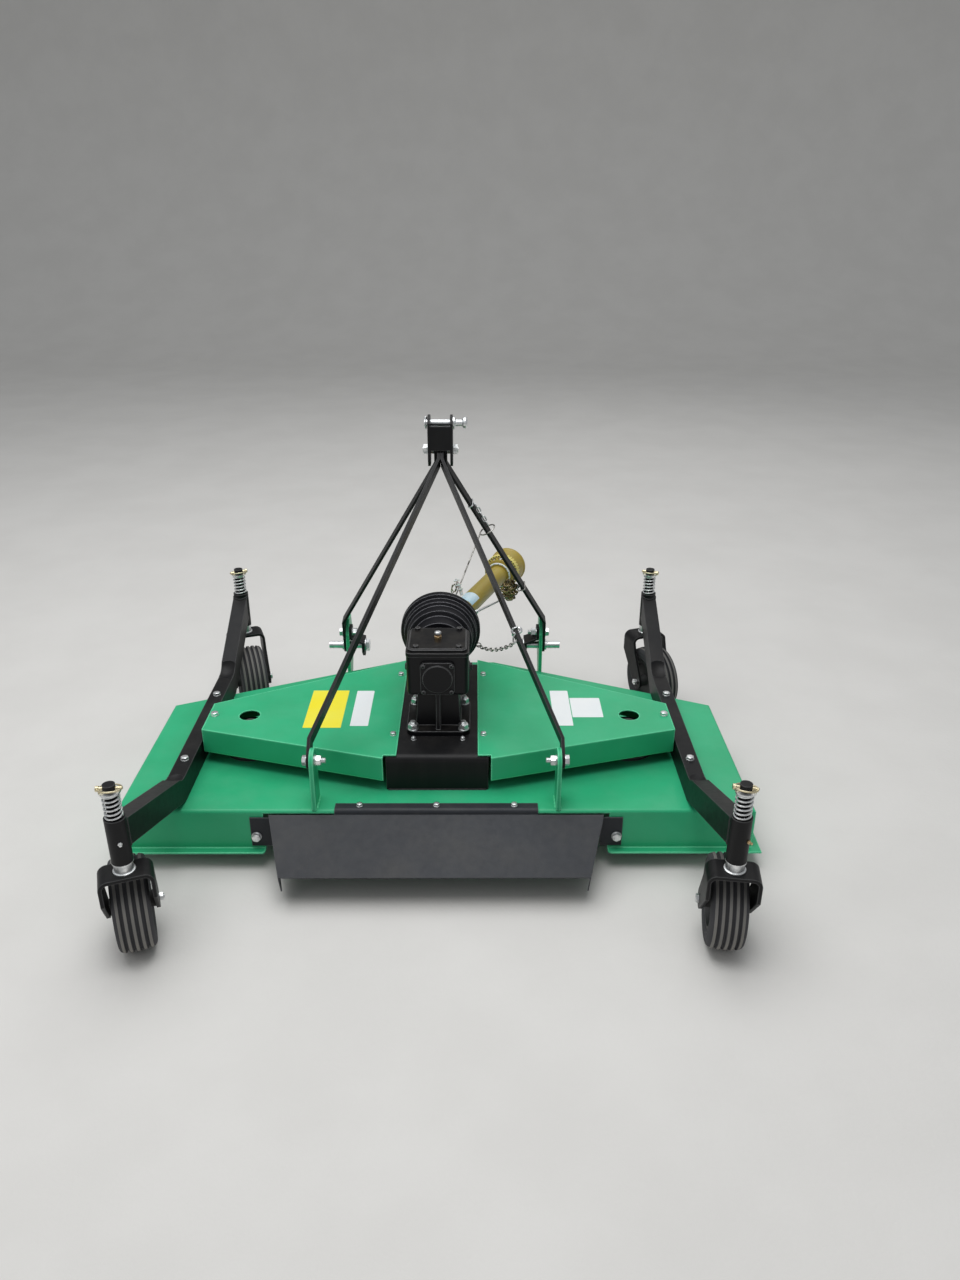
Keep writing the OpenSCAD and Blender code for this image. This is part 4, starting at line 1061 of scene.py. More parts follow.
@dataclass
class GearboxTrim:
    """Screws, nuts, breather and level plugs of the gearbox."""

    machine: Machine
    lid_top: float = 478.0
    lid_x: float = 52.0
    lid_y: tuple[float, float] = (-41.0, 62.0)
    cover_y: float = -67.0
    cover_x: float = 34.0
    cover_rise: float = 35.0
    cover_z: float = 404.0
    base_z: float = 262.0
    base_x: float = 62.5
    base_y: tuple[float, float] = (-61.0, 71.0)
    side_x: float = 76.0
    plug_y: float = 28.0
    plug_z: float = 392.0
    breather_y: float = 10.0

    def make(self) -> None:
        """Makes the black screws, the plated nuts and the breather."""
        screws, nuts = FastenerSet(), FastenerSet()
        for side in (-1, 1):
            for y in self.lid_y:
                screws.head(Vector((side * self.lid_x, y, self.lid_top)), UP, Size.M8, 10 * side, False)
            for rise in (-self.cover_rise, self.cover_rise):
                screws.head(Vector((side * self.cover_x, self.cover_y, self.cover_z + rise)), BACK, Size.M6,
                            20, False)
            for y in self.base_y:
                nuts.nut(Vector((side * self.base_x, y, self.base_z)), UP, Size.M14, 13 * side + y, 7)
            plug, out = Vector((side * self.side_x, self.plug_y, self.plug_z)), RIGHT * side
            screws.lathe(plug, out, [(14, -1), (14, 2), (12.5, 2.6), (0, 2.6)], 28)
            screws.hexagon(plug + out * 2.4, out, 16, 6, 7)
        self.machine.mount(screws, "gearbox_screws", Finish.GEAR)
        self.machine.mount(nuts, "gearbox_nuts", Finish.ZINC)
        at = Vector((0, self.breather_y, self.lid_top))
        vent = FastenerSet()
        vent.hexagon(at, UP, 17, 7, 5)
        vent.lathe(at, UP, [(7.4, 6.6), (7.4, 9.4), (5.2, 10), (5.2, 12), (0, 12)], 24)
        self.machine.mount(vent, "breather_body", Finish.BRASS)
        cap = Stock()
        cap.lathe(at, UP, [(5.0, 11.4), (8.2, 11.8), (8.6, 13), (8.6, 15.6), (7.4, 17.6), (4.2, 18.8), (0, 19)],
                  28)
        self.machine.mount(cap, "breather_cap", Finish.ZINC)


@dataclass
class TopHitchTrim:
    """Linch pin of the top link pin."""

    machine: Machine
    pin_y: float = 400.0
    pin_z: float = 920.0
    pin_end: float = -38.5
    reach: float = 16.0
    ring_d: float = 26.0
    wire: float = 3.0
    shank: float = 5.0

    def make(self) -> None:
        """Makes the pin on the body that tilts."""
        pin = FastenerSet()
        pin.linch_pin(Vector((self.pin_end, self.pin_y, self.pin_z)), Vector((0, 0.25, 1)), RIGHT, self.reach,
                      self.ring_d, self.wire, self.shank)
        self.machine.mount(pin, "top_linch_pin", Finish.ZINC, "mast_clevis")


@dataclass
class LowerHitchTrim:
    """Nuts behind the lower link pins."""

    machine: Machine
    pin_y: float = 491.0
    pin_z: float = 231.0
    inner_x: float = 238.0
    washer_t: float = 2.8
    flats: float = 32.0
    nut_h: float = 11.0

    def make(self) -> None:
        """Makes a nut and washer on the inner end of each pin."""
        nuts = FastenerSet()
        for side in (-1, 1):
            at, inward = Vector((side * self.inner_x, self.pin_y, self.pin_z)), RIGHT * -side
            thick = self.washer_t
            nuts.lathe(at, inward, [(11.3, 0), (19, 0), (19, thick - 0.4), (18.6, thick), (11.3, thick)], 36, True)
            nuts.hexagon(at + inward * thick, inward, self.flats, self.nut_h, 12, True)
        self.machine.mount(nuts, "lower_pin_nuts", Finish.ZINC)


@dataclass
class Welds:
    """Weld beads where lugs, arms and tubes meet, under the paint."""

    machine: Machine
    deck_top: float = DECK_TOP
    lug_x: float = 287.0
    lug_half: float = 5.0
    lug_rear: tuple[float, float] = (-249.0, -198.0)
    lug_bead: float = 3.2
    arm_x: float = ARM_X
    arm_half: float = 20.0
    arm_slope: float = 21.2
    arm_bead: float = 2.6
    tip_z: float = 327.4
    edge: float = 32.2
    tube_r: float = TUBE_R
    pivot_y: float = PIVOT_Y
    bridge_seam: float = 119.5
    bridge_y: tuple[float, float] = (-170.0, 336.0)
    bridge_bead: float = 3.0
    clevis_x: float = 25.5
    clevis_y: float = 373.5
    clevis_z: tuple[float, float] = (856.0, 914.0)
    clevis_bead: float = 2.2

    def lug_seams(self, stock: Stock) -> None:
        """Beads along both sides and the front of each rear lug's foot.

        Args:
            stock: The mesh that they go in.
        """
        back, front = self.lug_rear
        for side in (-1, 1):
            near, far = side * (self.lug_x - self.lug_half), side * (self.lug_x + self.lug_half)
            corners = ((near, back), (near, front), (far, front), (far, back))
            stock.bead([Vector((*corner, self.deck_top)) for corner in corners], self.lug_bead)

    def arm_seams(self, stock: Stock) -> None:
        """Beads where each arm's end meets its pivot tube: up both sides and over the top.

        Args:
            stock: The mesh that they go in.
        """
        ahead = math.sqrt(self.tube_r ** 2 - self.arm_half ** 2)
        fall = math.tan(math.radians(self.arm_slope))
        for side in (-1, 1):
            for end in (-1, 1):
                top, bottom = [], []
                for k in range(-6, 7):
                    x = self.arm_half * k / 6
                    y = math.sqrt(self.tube_r ** 2 - x * x)
                    for line, edge in ((top, self.edge), (bottom, -self.edge)):
                        line.append(Vector((side * self.arm_x + x, end * (self.pivot_y - y),
                                            self.tip_z + edge - fall * y)))
                x, y = side * self.arm_x + self.arm_half, end * (self.pivot_y - ahead)
                low = self.tip_z - fall * ahead - self.edge
                right = [Vector((x, y, low + self.edge * k / 2)) for k in range(5)]
                left = [Vector((2 * side * self.arm_x - p.x, p.y, p.z)) for p in right]
                stock.bead(left + top + right[::-1], self.arm_bead)
                stock.bead(bottom, self.arm_bead)

    def make(self) -> None:
        """Makes the green and the black beads."""
        green, black, clevis = Stock(), Stock(), Stock()
        self.lug_seams(green)
        self.arm_seams(black)
        for y in self.bridge_y:
            black.bead([Vector((x, y, self.deck_top)) for x in (-self.bridge_seam, self.bridge_seam)],
                       self.bridge_bead)
        self.machine.mount(green, "lug_welds", Finish.GREEN)
        self.machine.mount(black, "arm_welds", Finish.BLACK)
        for x in (-self.clevis_x, self.clevis_x):
            clevis.bead([Vector((x, self.clevis_y, z)) for z in self.clevis_z], self.clevis_bead)
        self.machine.mount(clevis, "clevis_welds", Finish.BLACK, "mast_clevis")


@dataclass
class SpindleTrim:
    """Bolts round the spindle housings, and the nuts above and below each rotor."""

    machine: Machine
    spindles: tuple[tuple[str, float, float], ...] = (("left", -488.0, 27.0), ("middle", 0.0, 249.0),
                                                      ("right", 488.0, 27.0))
    ring_r: float = 62.5
    flange_top: float = 164.2
    deck_under: float = DECK_UNDER
    blade_under: float = 66.0
    blade_washer: float = 4.0
    pulley_top: float = 213.0
    count: int = 6

    def make(self) -> None:
        """Makes the housing bolts on the frame and the nuts on each rotor."""
        bolts = FastenerSet()
        for name, x, y in self.spindles:
            for k in range(self.count):
                a = 2 * math.pi * (k + 0.5) / self.count
                spot = (x + self.ring_r * math.cos(a), y + self.ring_r * math.sin(a))
                bolts.head(Vector((*spot, self.flange_top)), UP, Size.M8, 25 * k, False)
                bolts.nut(Vector((*spot, self.deck_under)), -UP, Size.M8, 13 * k, 5)
            low, top = FastenerSet(), FastenerSet()
            foot, thick = Vector((x, y, self.blade_under)), self.blade_washer
            washer = [(15.4, 0.3), (27, 0.3), (27, thick - 1), (26, thick), (15.4, thick)]
            low.lathe(foot, -UP, washer, 40, True)
            low.hexagon(foot - UP * thick, -UP, 46.4, 10.6, 9, True)
            top.hexagon(Vector((x, y, self.pulley_top)), UP, 41, 13, 21, True)
            self.machine.mount(low, f"blade_nut_{name}", Finish.ZINC, f"blade_rotor_{name}")
            self.machine.mount(top, f"pulley_nut_{name}", Finish.IRON, f"blade_rotor_{name}")
        self.machine.mount(bolts, "housing_bolts", Finish.ZINC)


@dataclass
class CasterTrim:
    """Springs, linch pins, axle bolts, grease nipples and ribbed tyres of the four casters."""

    machine: Machine
    # name, side, end, angle of the swivel, of the linch pin and of the grease nipple
    casters: tuple[tuple[str, int, int, float, float, float], ...] = (
        ("rear_left", -1, -1, 20.0, 188.0, -64.0), ("rear_right", 1, -1, -8.0, 171.0, -47.6),
        ("front_left", -1, 1, 200.0, 24.0, 118.0), ("front_right", 1, 1, 199.0, -31.0, 62.0))
    arm_x: float = ARM_X
    pivot_y: float = PIVOT_Y
    tube_r: float = TUBE_R
    nipple_z: float = 314.0
    tube_top: float = 365.0
    spring_h: float = 58.0
    spring_r: float = 16.2
    spring_wire: float = 4.4
    turns: float = 6.5
    flat_turn: float = 0.6
    linch_z: float = 431.5
    linch_reach: float = 26.0
    linch_ring: float = 46.0
    linch_wire: float = 3.6
    linch_shank: float = 7.6
    trail: float = 64.0
    axle_z: float = 102.0
    fork_half: float = 55.0
    axle_r: float = 6.0
    tyre_w: float = 78.0
    tyre_d: float = 204.0
    hub_d: float = 126.0
    ribs: int = 5
    rib_w: float = 7.6
    tread_half: float = 32.0
    groove: float = 4.7
    crown_flat: float = 12.0
    crown_run: float = 19.0
    crown_fall: float = 3.0
    facets: int = 96

    def crown(self, across: float) -> float:
        """Radius of the tread at a distance from the tyre's middle."""
        past = max(abs(across) - self.crown_flat, 0.0) / self.crown_run
        return self.tyre_d / 2 - 0.3 - self.crown_fall * past ** 2

    def tyre_profiles(self) -> tuple[Profile, list[Profile]]:
        """Sections of the tyre and of the paler top of each of its ribs, as radius and distance across.

        Returns:
            The tyre's section, and the ribs' sections.
        """
        half, top, hub, crown = self.tyre_w / 2, self.tyre_d / 2, self.hub_d / 2 + 0.4, self.crown
        shoulder = [(crown(self.tread_half), self.tread_half), (top - 4.9, half - 4.6), (top - 7.6, half - 2.2),
                    (top - 11.5, half - 0.7)]
        wall = [(top - 14, half - 0.3), (top - 15, half - 1.1), (top - 17, half - 1.1), (top - 18, half - 0.3),
                (hub + 15, half - 0.3), (hub + 14, half - 1.2), (hub + 12, half - 1.2), (hub + 11, half - 0.3),
                (hub + 8, half - 0.5), (hub + 2.5, half - 2.6), (hub, half - 5)]
        outer = list(reversed(shoulder + wall))
        pitch = (2 * self.tread_half - self.rib_w) / (self.ribs - 1)
        tread: Profile = []
        tops: list[Profile] = []
        for i in range(self.ribs):
            a = -self.tread_half + i * pitch
            b = a + self.rib_w
            if i:
                tread += [(crown(a) - self.groove, a - 1.5), (crown(a) - 0.9, a - 0.2)]
            tread += [(crown(a), a + 0.8), (crown(b), b - 0.8)]
            if i < self.ribs - 1:
                tread += [(crown(b) - 0.9, b + 0.2), (crown(b) - self.groove, b + 1.5)]
            tops.append([(crown(a) - 0.6, a + 0.5), (crown(a) + 0.2, a + 0.9),
                         (crown((a + b) / 2) + 0.25, (a + b) / 2),
                         (crown(b) + 0.2, b - 0.9), (crown(b) - 0.6, b - 0.5)])
        return [(r, -x) for r, x in outer] + tread + outer[::-1], tops

    def tyre(self, name: str, hub: Vector, across: Vector) -> None:
        """Makes one ribbed tyre and the paler bands on the tops of its ribs.

        Args:
            name: The caster's name.
            hub: The wheel's middle.
            across: The direction of its axle.
        """
        section, tops = self.tyre_profiles()
        tyre, tread = Stock(), Stock()
        tyre.lathe(hub, across, section, self.facets, True)
        self.machine.mount(tyre, f"ribbed_tyre_{name}", Finish.TYRE, f"wheel_{name}", (f"tyre_{name}",))
        for band in tops:
            tread.lathe(hub, across, band, self.facets, True)
        self.machine.mount(tread, f"tread_bands_{name}", Finish.TREAD, f"wheel_{name}")

    def spring_path(self, x: float, y: float) -> list[Vector]:
        """Path of one pressed coil, with a flat turn at each end.

        Args:
            x: The pivot's place across.
            y: The pivot's place along.

        Returns:
            The path's points.
        """
        steps = 26
        low = self.tube_top + self.spring_wire / 2 + 0.3
        high = self.tube_top + self.spring_h - self.spring_wire / 2
        path = []
        for i in range(int(self.turns * steps) + 1):
            turn = i / steps
            rise = min(max((turn - self.flat_turn) / (self.turns - 2 * self.flat_turn), 0.0), 1.0)
            a = 2 * math.pi * turn
            path.append(Vector((x + self.spring_r * math.cos(a), y + self.spring_r * math.sin(a),
                                low + (high - low) * rise)))
        return path

    @staticmethod
    def compass(angle: float) -> Vector:
        """The level direction at an angle from the right, in degrees."""
        return Vector((math.cos(math.radians(angle)), math.sin(math.radians(angle)), 0))

    def linch_pin(self, name: str, x: float, y: float, angle: float) -> None:
        """Makes the linch pin through the top of one pivot.

        Args:
            name: The caster's name.
            x: The pivot's place across.
            y: The pivot's place along.
            angle: The shank's direction, in degrees from the right.
        """
        pin = FastenerSet()
        pin.linch_pin(Vector((x, y, self.linch_z)), self.compass(angle) + UP * 0.04, Vector((0, 0.22, 1)),
                      self.linch_reach, self.linch_ring, self.linch_wire, self.linch_shank)
        self.machine.mount(pin, f"linch_pin_{name}", Finish.YELLOW_ZINC, f"caster_{name}")

    def axle(self, name: str, hub: Vector, across: Vector) -> None:
        """Makes one axle bolt with its nut.

        Args:
            name: The caster's name.
            hub: The wheel's middle.
            across: The direction of the bolt.
        """
        axle = FastenerSet()
        end, face, r = self.fork_half + 2, self.fork_half + 0.1, self.axle_r
        axle.lathe(hub - across * end, across, [(0, 0), (r, 0), (r, 2 * end), (0, 2 * end)], 24)
        axle.head(hub - across * face, -across, Size.M10, 12, False)
        axle.nut(hub + across * face, across, Size.M10, 24, 2.6, False)
        self.machine.mount(axle, f"axle_bolt_{name}", Finish.ZINC, f"caster_{name}", (f"axle_{name}",))

    def nipple(self, number: int, x: float, y: float, angle: float) -> None:
        """Screws a grease nipple into one pivot tube.

        Args:
            number: Its number among the four.
            x: The pivot's place across.
            y: The pivot's place along.
            angle: The side that it is on, in degrees from the right.
        """
        nipple = FastenerSet()
        out = self.compass(angle)
        at = Vector((x, y, self.nipple_z)) + out * (self.tube_r - 0.4)
        nipple.hexagon(at, out, 8, 3.4, 3)
        nipple.lathe(at, out, [(2.6, 3.2), (2.6, 5), (1.8, 5.6), (2.9, 7.2), (2.9, 8.4), (1.6, 9.6), (0, 9.8)],
                     16)
        self.machine.mount(nipple, f"grease_nipple_{number}", Finish.BRASS if x > 0 else Finish.ZINC)

    def make(self) -> None:
        """Makes each kind for the four casters."""
        springs = Stock()
        for name, side, end, swivel, linch, _ in self.casters:
            x, y = side * self.arm_x, end * self.pivot_y
            springs.sweep(self.spring_path(x, y), self.spring_wire / 2, 10, False, UP)
            self.linch_pin(name, x, y, linch)
            across = self.compass(swivel)
            hub = Vector((x, y, self.axle_z)) + self.compass(swivel + 90) * self.trail
            self.axle(name, hub, across)
            self.tyre(name, hub, across)
        for number, (_, side, end, _, _, nipple) in enumerate(self.casters):
            self.nipple(number, side * self.arm_x, end * self.pivot_y, nipple)
        self.machine.mount(springs, "spring_coils", Finish.ZINC, "frame", ("pivot_springs",))


@dataclass
class Stickers:
    """Blank labels on the belt covers."""

    machine: Machine
    top: float = COVER_TOP
    thickness: float = 0.3
    corner: float = 2.0
    # name, finish, middle across and along, width, length
    labels: tuple[tuple[str, Finish, float, float, float, float], ...] = (
        ("label_yellow", Finish.LABEL_YELLOW, -294.8, 61.8, 96.0, 198.0),
        ("label_white_0", Finish.LABEL_WHITE, -202.0, 65.5, 46.0, 187.0),
        ("label_white_1", Finish.LABEL_WHITE, 316.0, 66.0, 48.0, 186.0),
        ("label_white_2", Finish.LABEL_WHITE, 381.6, 67.0, 79.0, 102.5))

    def make(self) -> None:
        """Lays each label."""
        for name, finish, x, y, width, length in self.labels:
            stock = Stock()
            stock.prism(rounded_box(width, length, self.corner), Vector((x, y, self.top)), RIGHT, AHEAD,
                        self.thickness)
            self.machine.mount(stock, name, finish)


@dataclass
class DrivelineTrim:
    """Label on the guard tube, stay wire, tie, chains with their hooks, and the collar's rings and clips."""

    machine: Machine
    start: Place = (0.0, 183.0, 415.0)
    yaw: float = 20.3
    dip: float = 1.3
    guard_r: float = 28.5
    cone_at: float = 475.0
    bell_hook: Place = (99.0, 172.0, 380.0)
    rear_foot: Place = (296.0, -228.0, 275.0)
    front_foot: Place = (296.0, 481.95, 277.0)
    mast: tuple[float, float] = (400.0, 850.0)
    brace_tip: float = 42.0
    label_span: tuple[float, float] = (172.0, 232.0)
    bundle: Place = (191.0, 462.0, 420.0)
    # distance along the shaft, radius, angle and wire radius, round the tube to where the wire leaves it
    stay: tuple[tuple[float, float, float, float], ...] = (
        (120.0, 31.6, -28.0, 1.9), (120.0, 33.2, -9.0, 2.3), (120.0, 35.0, 10.0, 2.8))
    # share of the way down to the chain, and wire radius there
    stay_run: tuple[tuple[float, float], ...] = ((0.3, 3.5), (0.8, 2.6), (1.0, 1.6))
    strap: tuple[Place, ...] = ((39.0, 318.0, 512.0), (44.5, 316.0, 498.0), (51.0, 311.0, 483.0),
                                (55.5, 304.0, 470.0))
    guard_links: Links = Links(3.0, 20.0, 11.0)
    guard_sag: float = 15.0
    stowed_links: Links = Links(3.7, 19.0, 12.5)
    hanger_links: Links = Links(4.0, 24.0, 14.0)
    ring_lean: Place = (0.0, -0.9, 0.42)

    def frame(self) -> tuple[Vector, Vector, Vector]:
        """Directions of the driveline: to its right, up and along.

        Returns:
            The three directions.
        """
        yaw, dip = math.radians(self.yaw), math.radians(self.dip)
        along = Vector((math.sin(yaw) * math.cos(dip), math.cos(yaw) * math.cos(dip), -math.sin(dip)))
        right = Vector((math.cos(yaw), -math.sin(yaw), 0))
        return right, right.cross(along).normalized(), along

    def shaft_point(self, s: float, radius: float = 0.0, angle: float = 0.0) -> Vector:
        """A point on the driveline.

        Args:
            s: The distance from the gearbox joint.
            radius: The distance from the middle line.
            angle: The angle from its right side up, in degrees.

        Returns:
            The point, in millimetres.
        """
        right, up, along = self.frame()
        a = math.radians(angle)
        return Vector(self.start) + along * s + (right * math.cos(a) + up * math.sin(a)) * radius

    def brace_point(self, foot: Place, top_x: float, straight: float, v: float) -> Vector:
        """A point on the middle line of a right-hand brace, v from its lug's bolt.

        Args:
            foot: The middle of the lug's bolt.
            top_x: The brace's place across at its top.
            straight: How far its foot runs upright.
            v: The distance from the lug's bolt.

        Returns:
            The point, in millimetres.
        """
        dy, dz = self.mast[0] - foot[1], self.mast[1] - foot[2]
        length = math.hypot(dy, dz)
        lean = (top_x - foot[0]) / (length - straight - self.brace_tip)
        return Vector((foot[0] + lean * (v - straight), foot[1] + v * dy / length, foot[2] + v * dz / length))

    def rear_brace(self, v: float) -> Vector:
        """A point on the right-hand rear brace."""
        return self.brace_point(self.rear_foot, 4.5, 48, v)

    def front_brace(self, v: float) -> Vector:
        """A point on the right-hand front brace."""
        return self.brace_point(self.front_foot, 13.0, 42, v)

    def label(self) -> None:
        """Wraps a blank label round the top of the outer guard tube."""
        stock = Stock()
        (low, high), r0, r1 = self.label_span, self.guard_r + 0.05, self.guard_r + 0.4
        stock.skin([[self.shaft_point(s, r, angle) for s, r in ((low, r0), (high, r0), (high, r1), (low, r1))]
                    for angle in range(30, 211, 9)])
        self.machine.mount(stock, "label_guard", Finish.LABEL_BLUE, "shaft_guard")

    def bar_loop(self, stock: Stock, at: Vector, ahead: Vector, wire: float, wide: float, tall: float) -> None:
        """Bends a wire round a brace's flat bar.

        Args:
            stock: The mesh that it goes in.
            at: The middle of the bar.
            ahead: A point farther up the bar.
            wire: The wire's thickness.
            wide: The loop's width across the bar's faces.
            tall: The loop's width across the bar's edges.
        """
        side, other, along = basis(ahead - at, RIGHT)
        stock.loop([at + side * x + other * y for x, y in rounded_box(wide, tall, 4)], wire / 2, along)

    def hanger(self) -> None:
        """Runs the stay wire from the ring round the tube to the stowed chain, and ties the hanger's wire."""
        stock = Stock()
        path = [self.shaft_point(*place) for *place, _ in self.stay]
        start, low = path[-1], Vector(self.bundle) + Vector((-6, -4, -20))
        path += [start.lerp(low, share) for share, _ in self.stay_run]
        stock.sweep(path, [row[-1] for row in self.stay + self.stay_run])
        u, v, axis = basis(low - start)
        foot, step, rise, coil_r = start.lerp(low, 0.12), 0.7, 0.42, 5.0
        coil = [foot + axis * (k * rise) + (u * math.cos(k * step) + v * math.sin(k * step)) * coil_r
                for k in range(48)]
        stock.sweep(coil, 1.1, 6)
        self.machine.mount(stock, "stay_wire", Finish.ZINC)
        tie, loop = Stock(), Stock()
        strap = [Vector(p) for p in self.strap]
        tie.sweep(strap, [2.6, 4.4, 5.2, 4.2], 12)
        axis, side = (strap[2] - strap[0]).normalized(), Vector((1, 0, 0.3)).normalized()
        for share, wide in ((0.15, 7.0), (0.55, 8.0), (0.95, 7.0)):
            tie.loop(oval(strap[0].lerp(strap[2], share), side, axis.cross(side), wide, wide, 16), 1.7, axis)
        middle = strap[2] + Vector((-17, 4, 3))
        for lean, wide, tall in ((0.25, 7.0, 15.0), (-0.15, 6.0, 12.0)):
            up = Vector((lean, -0.2, 1)).normalized()
            loop.loop(oval(middle, side, up, wide, tall, 20), 1.5, AHEAD)
        self.machine.mount(tie, "plastic_tie", Finish.CLEAR)
        self.machine.mount(loop, "tie_loops", Finish.CHAIN_ZINC)

    def stowed_chain(self) -> None:
        """Bunches the guard's spare chain and hooks it on the front brace."""
        stock, hook = Stock(), Stock()
        middle = Vector(self.bundle)
        for turns, size, lift in ((5.2, 1.0, 0.0), (4.4, 0.74, 1.0), (3.6, 0.45, 2.0)):
            path = []
            for k in range(161):
                a, z = 2 * math.pi * turns * k / 160, math.cos(math.pi * k / 160)
                wide = math.sqrt(max(0.06, 1 - z * z * 0.94)) * size
                path.append(middle + Vector((21.5 * wide * math.cos(a) + 2.4 * math.sin(3 * a + 1),
                                             15.0 * wide * math.sin(a),
                                             29.0 * z * (0.5 + 0.5 * size) + lift + 3.0 * math.sin(2 * a))))
            stock.chain(path, self.stowed_links)
        grip, top = self.front_brace(158), middle + Vector((3, 0, 24))
        stock.chain([top, top.lerp(grip + Vector((-9, 0, -5)), 0.9)], self.stowed_links)
        # the chain's near-black patches are painted shade between the bunched links
        self.machine.mount(stock, "stowed_chain", Finish.BROWN_ZINC)
        self.bar_loop(hook, grip, self.front_brace(168), 3.0, 13.2, 46.0)
        hook.sweep([grip + Vector(step) for step in ((-7, -4, 6), (-14, -6, 2), (-16, -6, -7), (-11, -6, -13),
                                                     (-5, -6, -10))], 1.8, WIRE_SIDES)
        self.machine.mount(hook, "chain_hook", Finish.CHAIN_ZINC)

    def chains(self) -> None:
        """Hangs the guard's chain from the input guard to the rear brace, and one along the front brace."""
        stock, hook, upper = Stock(), Stock(), Stock()
        a, b = Vector(self.bell_hook), self.rear_brace(322) + Vector((-3, -8, -24))
        shares = [k / 16 for k in range(17)]
        stock.chain([a.lerp(b, share) - UP * (4 * self.guard_sag * share * (1 - share)) for share in shares],
                    self.guard_links)
        stock.loop(oval(a + Vector((2, 0, 2)), RIGHT, UP, 6, 6, 20), 1.4, AHEAD)
        self.machine.mount(stock, "guard_chain", Finish.CHAIN_ZINC)
        self.bar_loop(hook, self.rear_brace(326), self.rear_brace(334), 3.4, 12.6, 46.0)
        right, tilt = Vector((1, 0, 0.12)).normalized(), Vector((-0.1, 0.42, 0.9)).normalized()
        lean, ring = Vector(self.ring_lean), self.rear_brace(330) + Vector((5, -15, 5))
        hook.loop(oval(ring, right, tilt, 10.5, 6.8, 24), 3.9, lean)
        fall = (b - ring).normalized()
        hook.loop(oval(ring.lerp(b, 0.62), fall, fall.cross(lean), 13, 5.2, 24), 2.2, lean)
        self.machine.mount(hook, "brace_hook", Finish.ZINC)
        upper.chain([self.front_brace(v) + Vector((9.5, -6, 3)) for v in (352, 370, 388, 406, 420)],
                    self.hanger_links)
        self.bar_loop(upper, self.front_brace(421), self.front_brace(430), 3.6, 13.0, 45.0)
        self.machine.mount(upper, "hanger_chain", Finish.ZINC)

    def collar_spot(self, s: float, radius: float, angle: float) -> tuple[Vector, Vector]:
        """A place on the collar, and the direction out of it."""
        at = self.shaft_point(s, radius, angle)
        return at, (at - self.shaft_point(s)).normalized()

    def clips(self) -> None:
        """Rings and clips on the collar behind the guard cone."""
        ring, seat, band, clip, slots = Stock(), Stock(), Stock(), Stock(), Stock()
        along, cone = self.frame()[2], self.cone_at
        ring.lathe(self.shaft_point(cone - 9), along,
                   [(34.0, 0), (36.6, 0), (38.2, 1.4), (38.2, 4.2), (36, 6), (34.0, 6)], 48, True)
        seat.lathe(self.shaft_point(cone - 8), along,
                   [(28.2, 0), (34.4, 0), (34.4, 4.6), (36.4, 6.2), (36.4, 8.4), (28.2, 8.4)], 48, True)
        band.lathe(self.shaft_point(cone + 21), along, [(46, 0), (52.6, 0), (53.8, 1.4), (53.8, 5.4), (52.0, 6.6),
                                                        (52.4, 16), (51.2, 18), (46, 18)], 72, True)
        for k in range(36):
            at, out = self.collar_spot(cone + 35.4, 51.9, 10 * k)
            band.prism(rounded_box(5.0, 7.0, 1.2, 2), at, along.cross(out), along, 1.9)
        for angle in (-22, -34, 158):
            at, out = self.collar_spot(cone + 13, 46.5, angle)
            clip.sweep([at - along * 9, at + out * 3.4, at + along * 9], 1.7, WIRE_SIDES)
        for row, (s, r, size) in enumerate(((cone + 9.0, 46.0, 1.9), (cone + 17.0, 47.6, 1.9))):
            for k in range(30):
                at, out = self.collar_spot(s, r + 0.15, 12 * k + 6 * row)
                slots.lathe(at - out * 0.6, out, [(0, 0), (size, 0), (size, 0.7), (0, 0.8)], 10)
        for s, r, count, size in ((cone - 8.9, 35.6, 16, 1.3), (cone + 21.2, 50.2, 36, 2.1)):
            for k in range(count):
                slots.lathe(self.shaft_point(s, r, 360 * k / count), -along,
                            [(0, 0), (size, 0), (size, 0.6), (0, 0.7)], 10)
        for stock, name, finish in (
                (ring, "bearing_ring", Finish.CLEAR), (seat, "bearing_seat", Finish.YELLOW),
                (band, "cone_band", Finish.PALE_YELLOW), (clip, "collar_clips", Finish.ZINC),
                (slots, "collar_slots", Finish.PLASTIC)):
            self.machine.mount(stock, name, finish, "shaft_guard")

    def make(self) -> None:
        """Makes all of it."""
        self.label()
        self.hanger()
        self.stowed_chain()
        self.chains()
        self.clips()


# --------------------------------------------------------------------------- studio


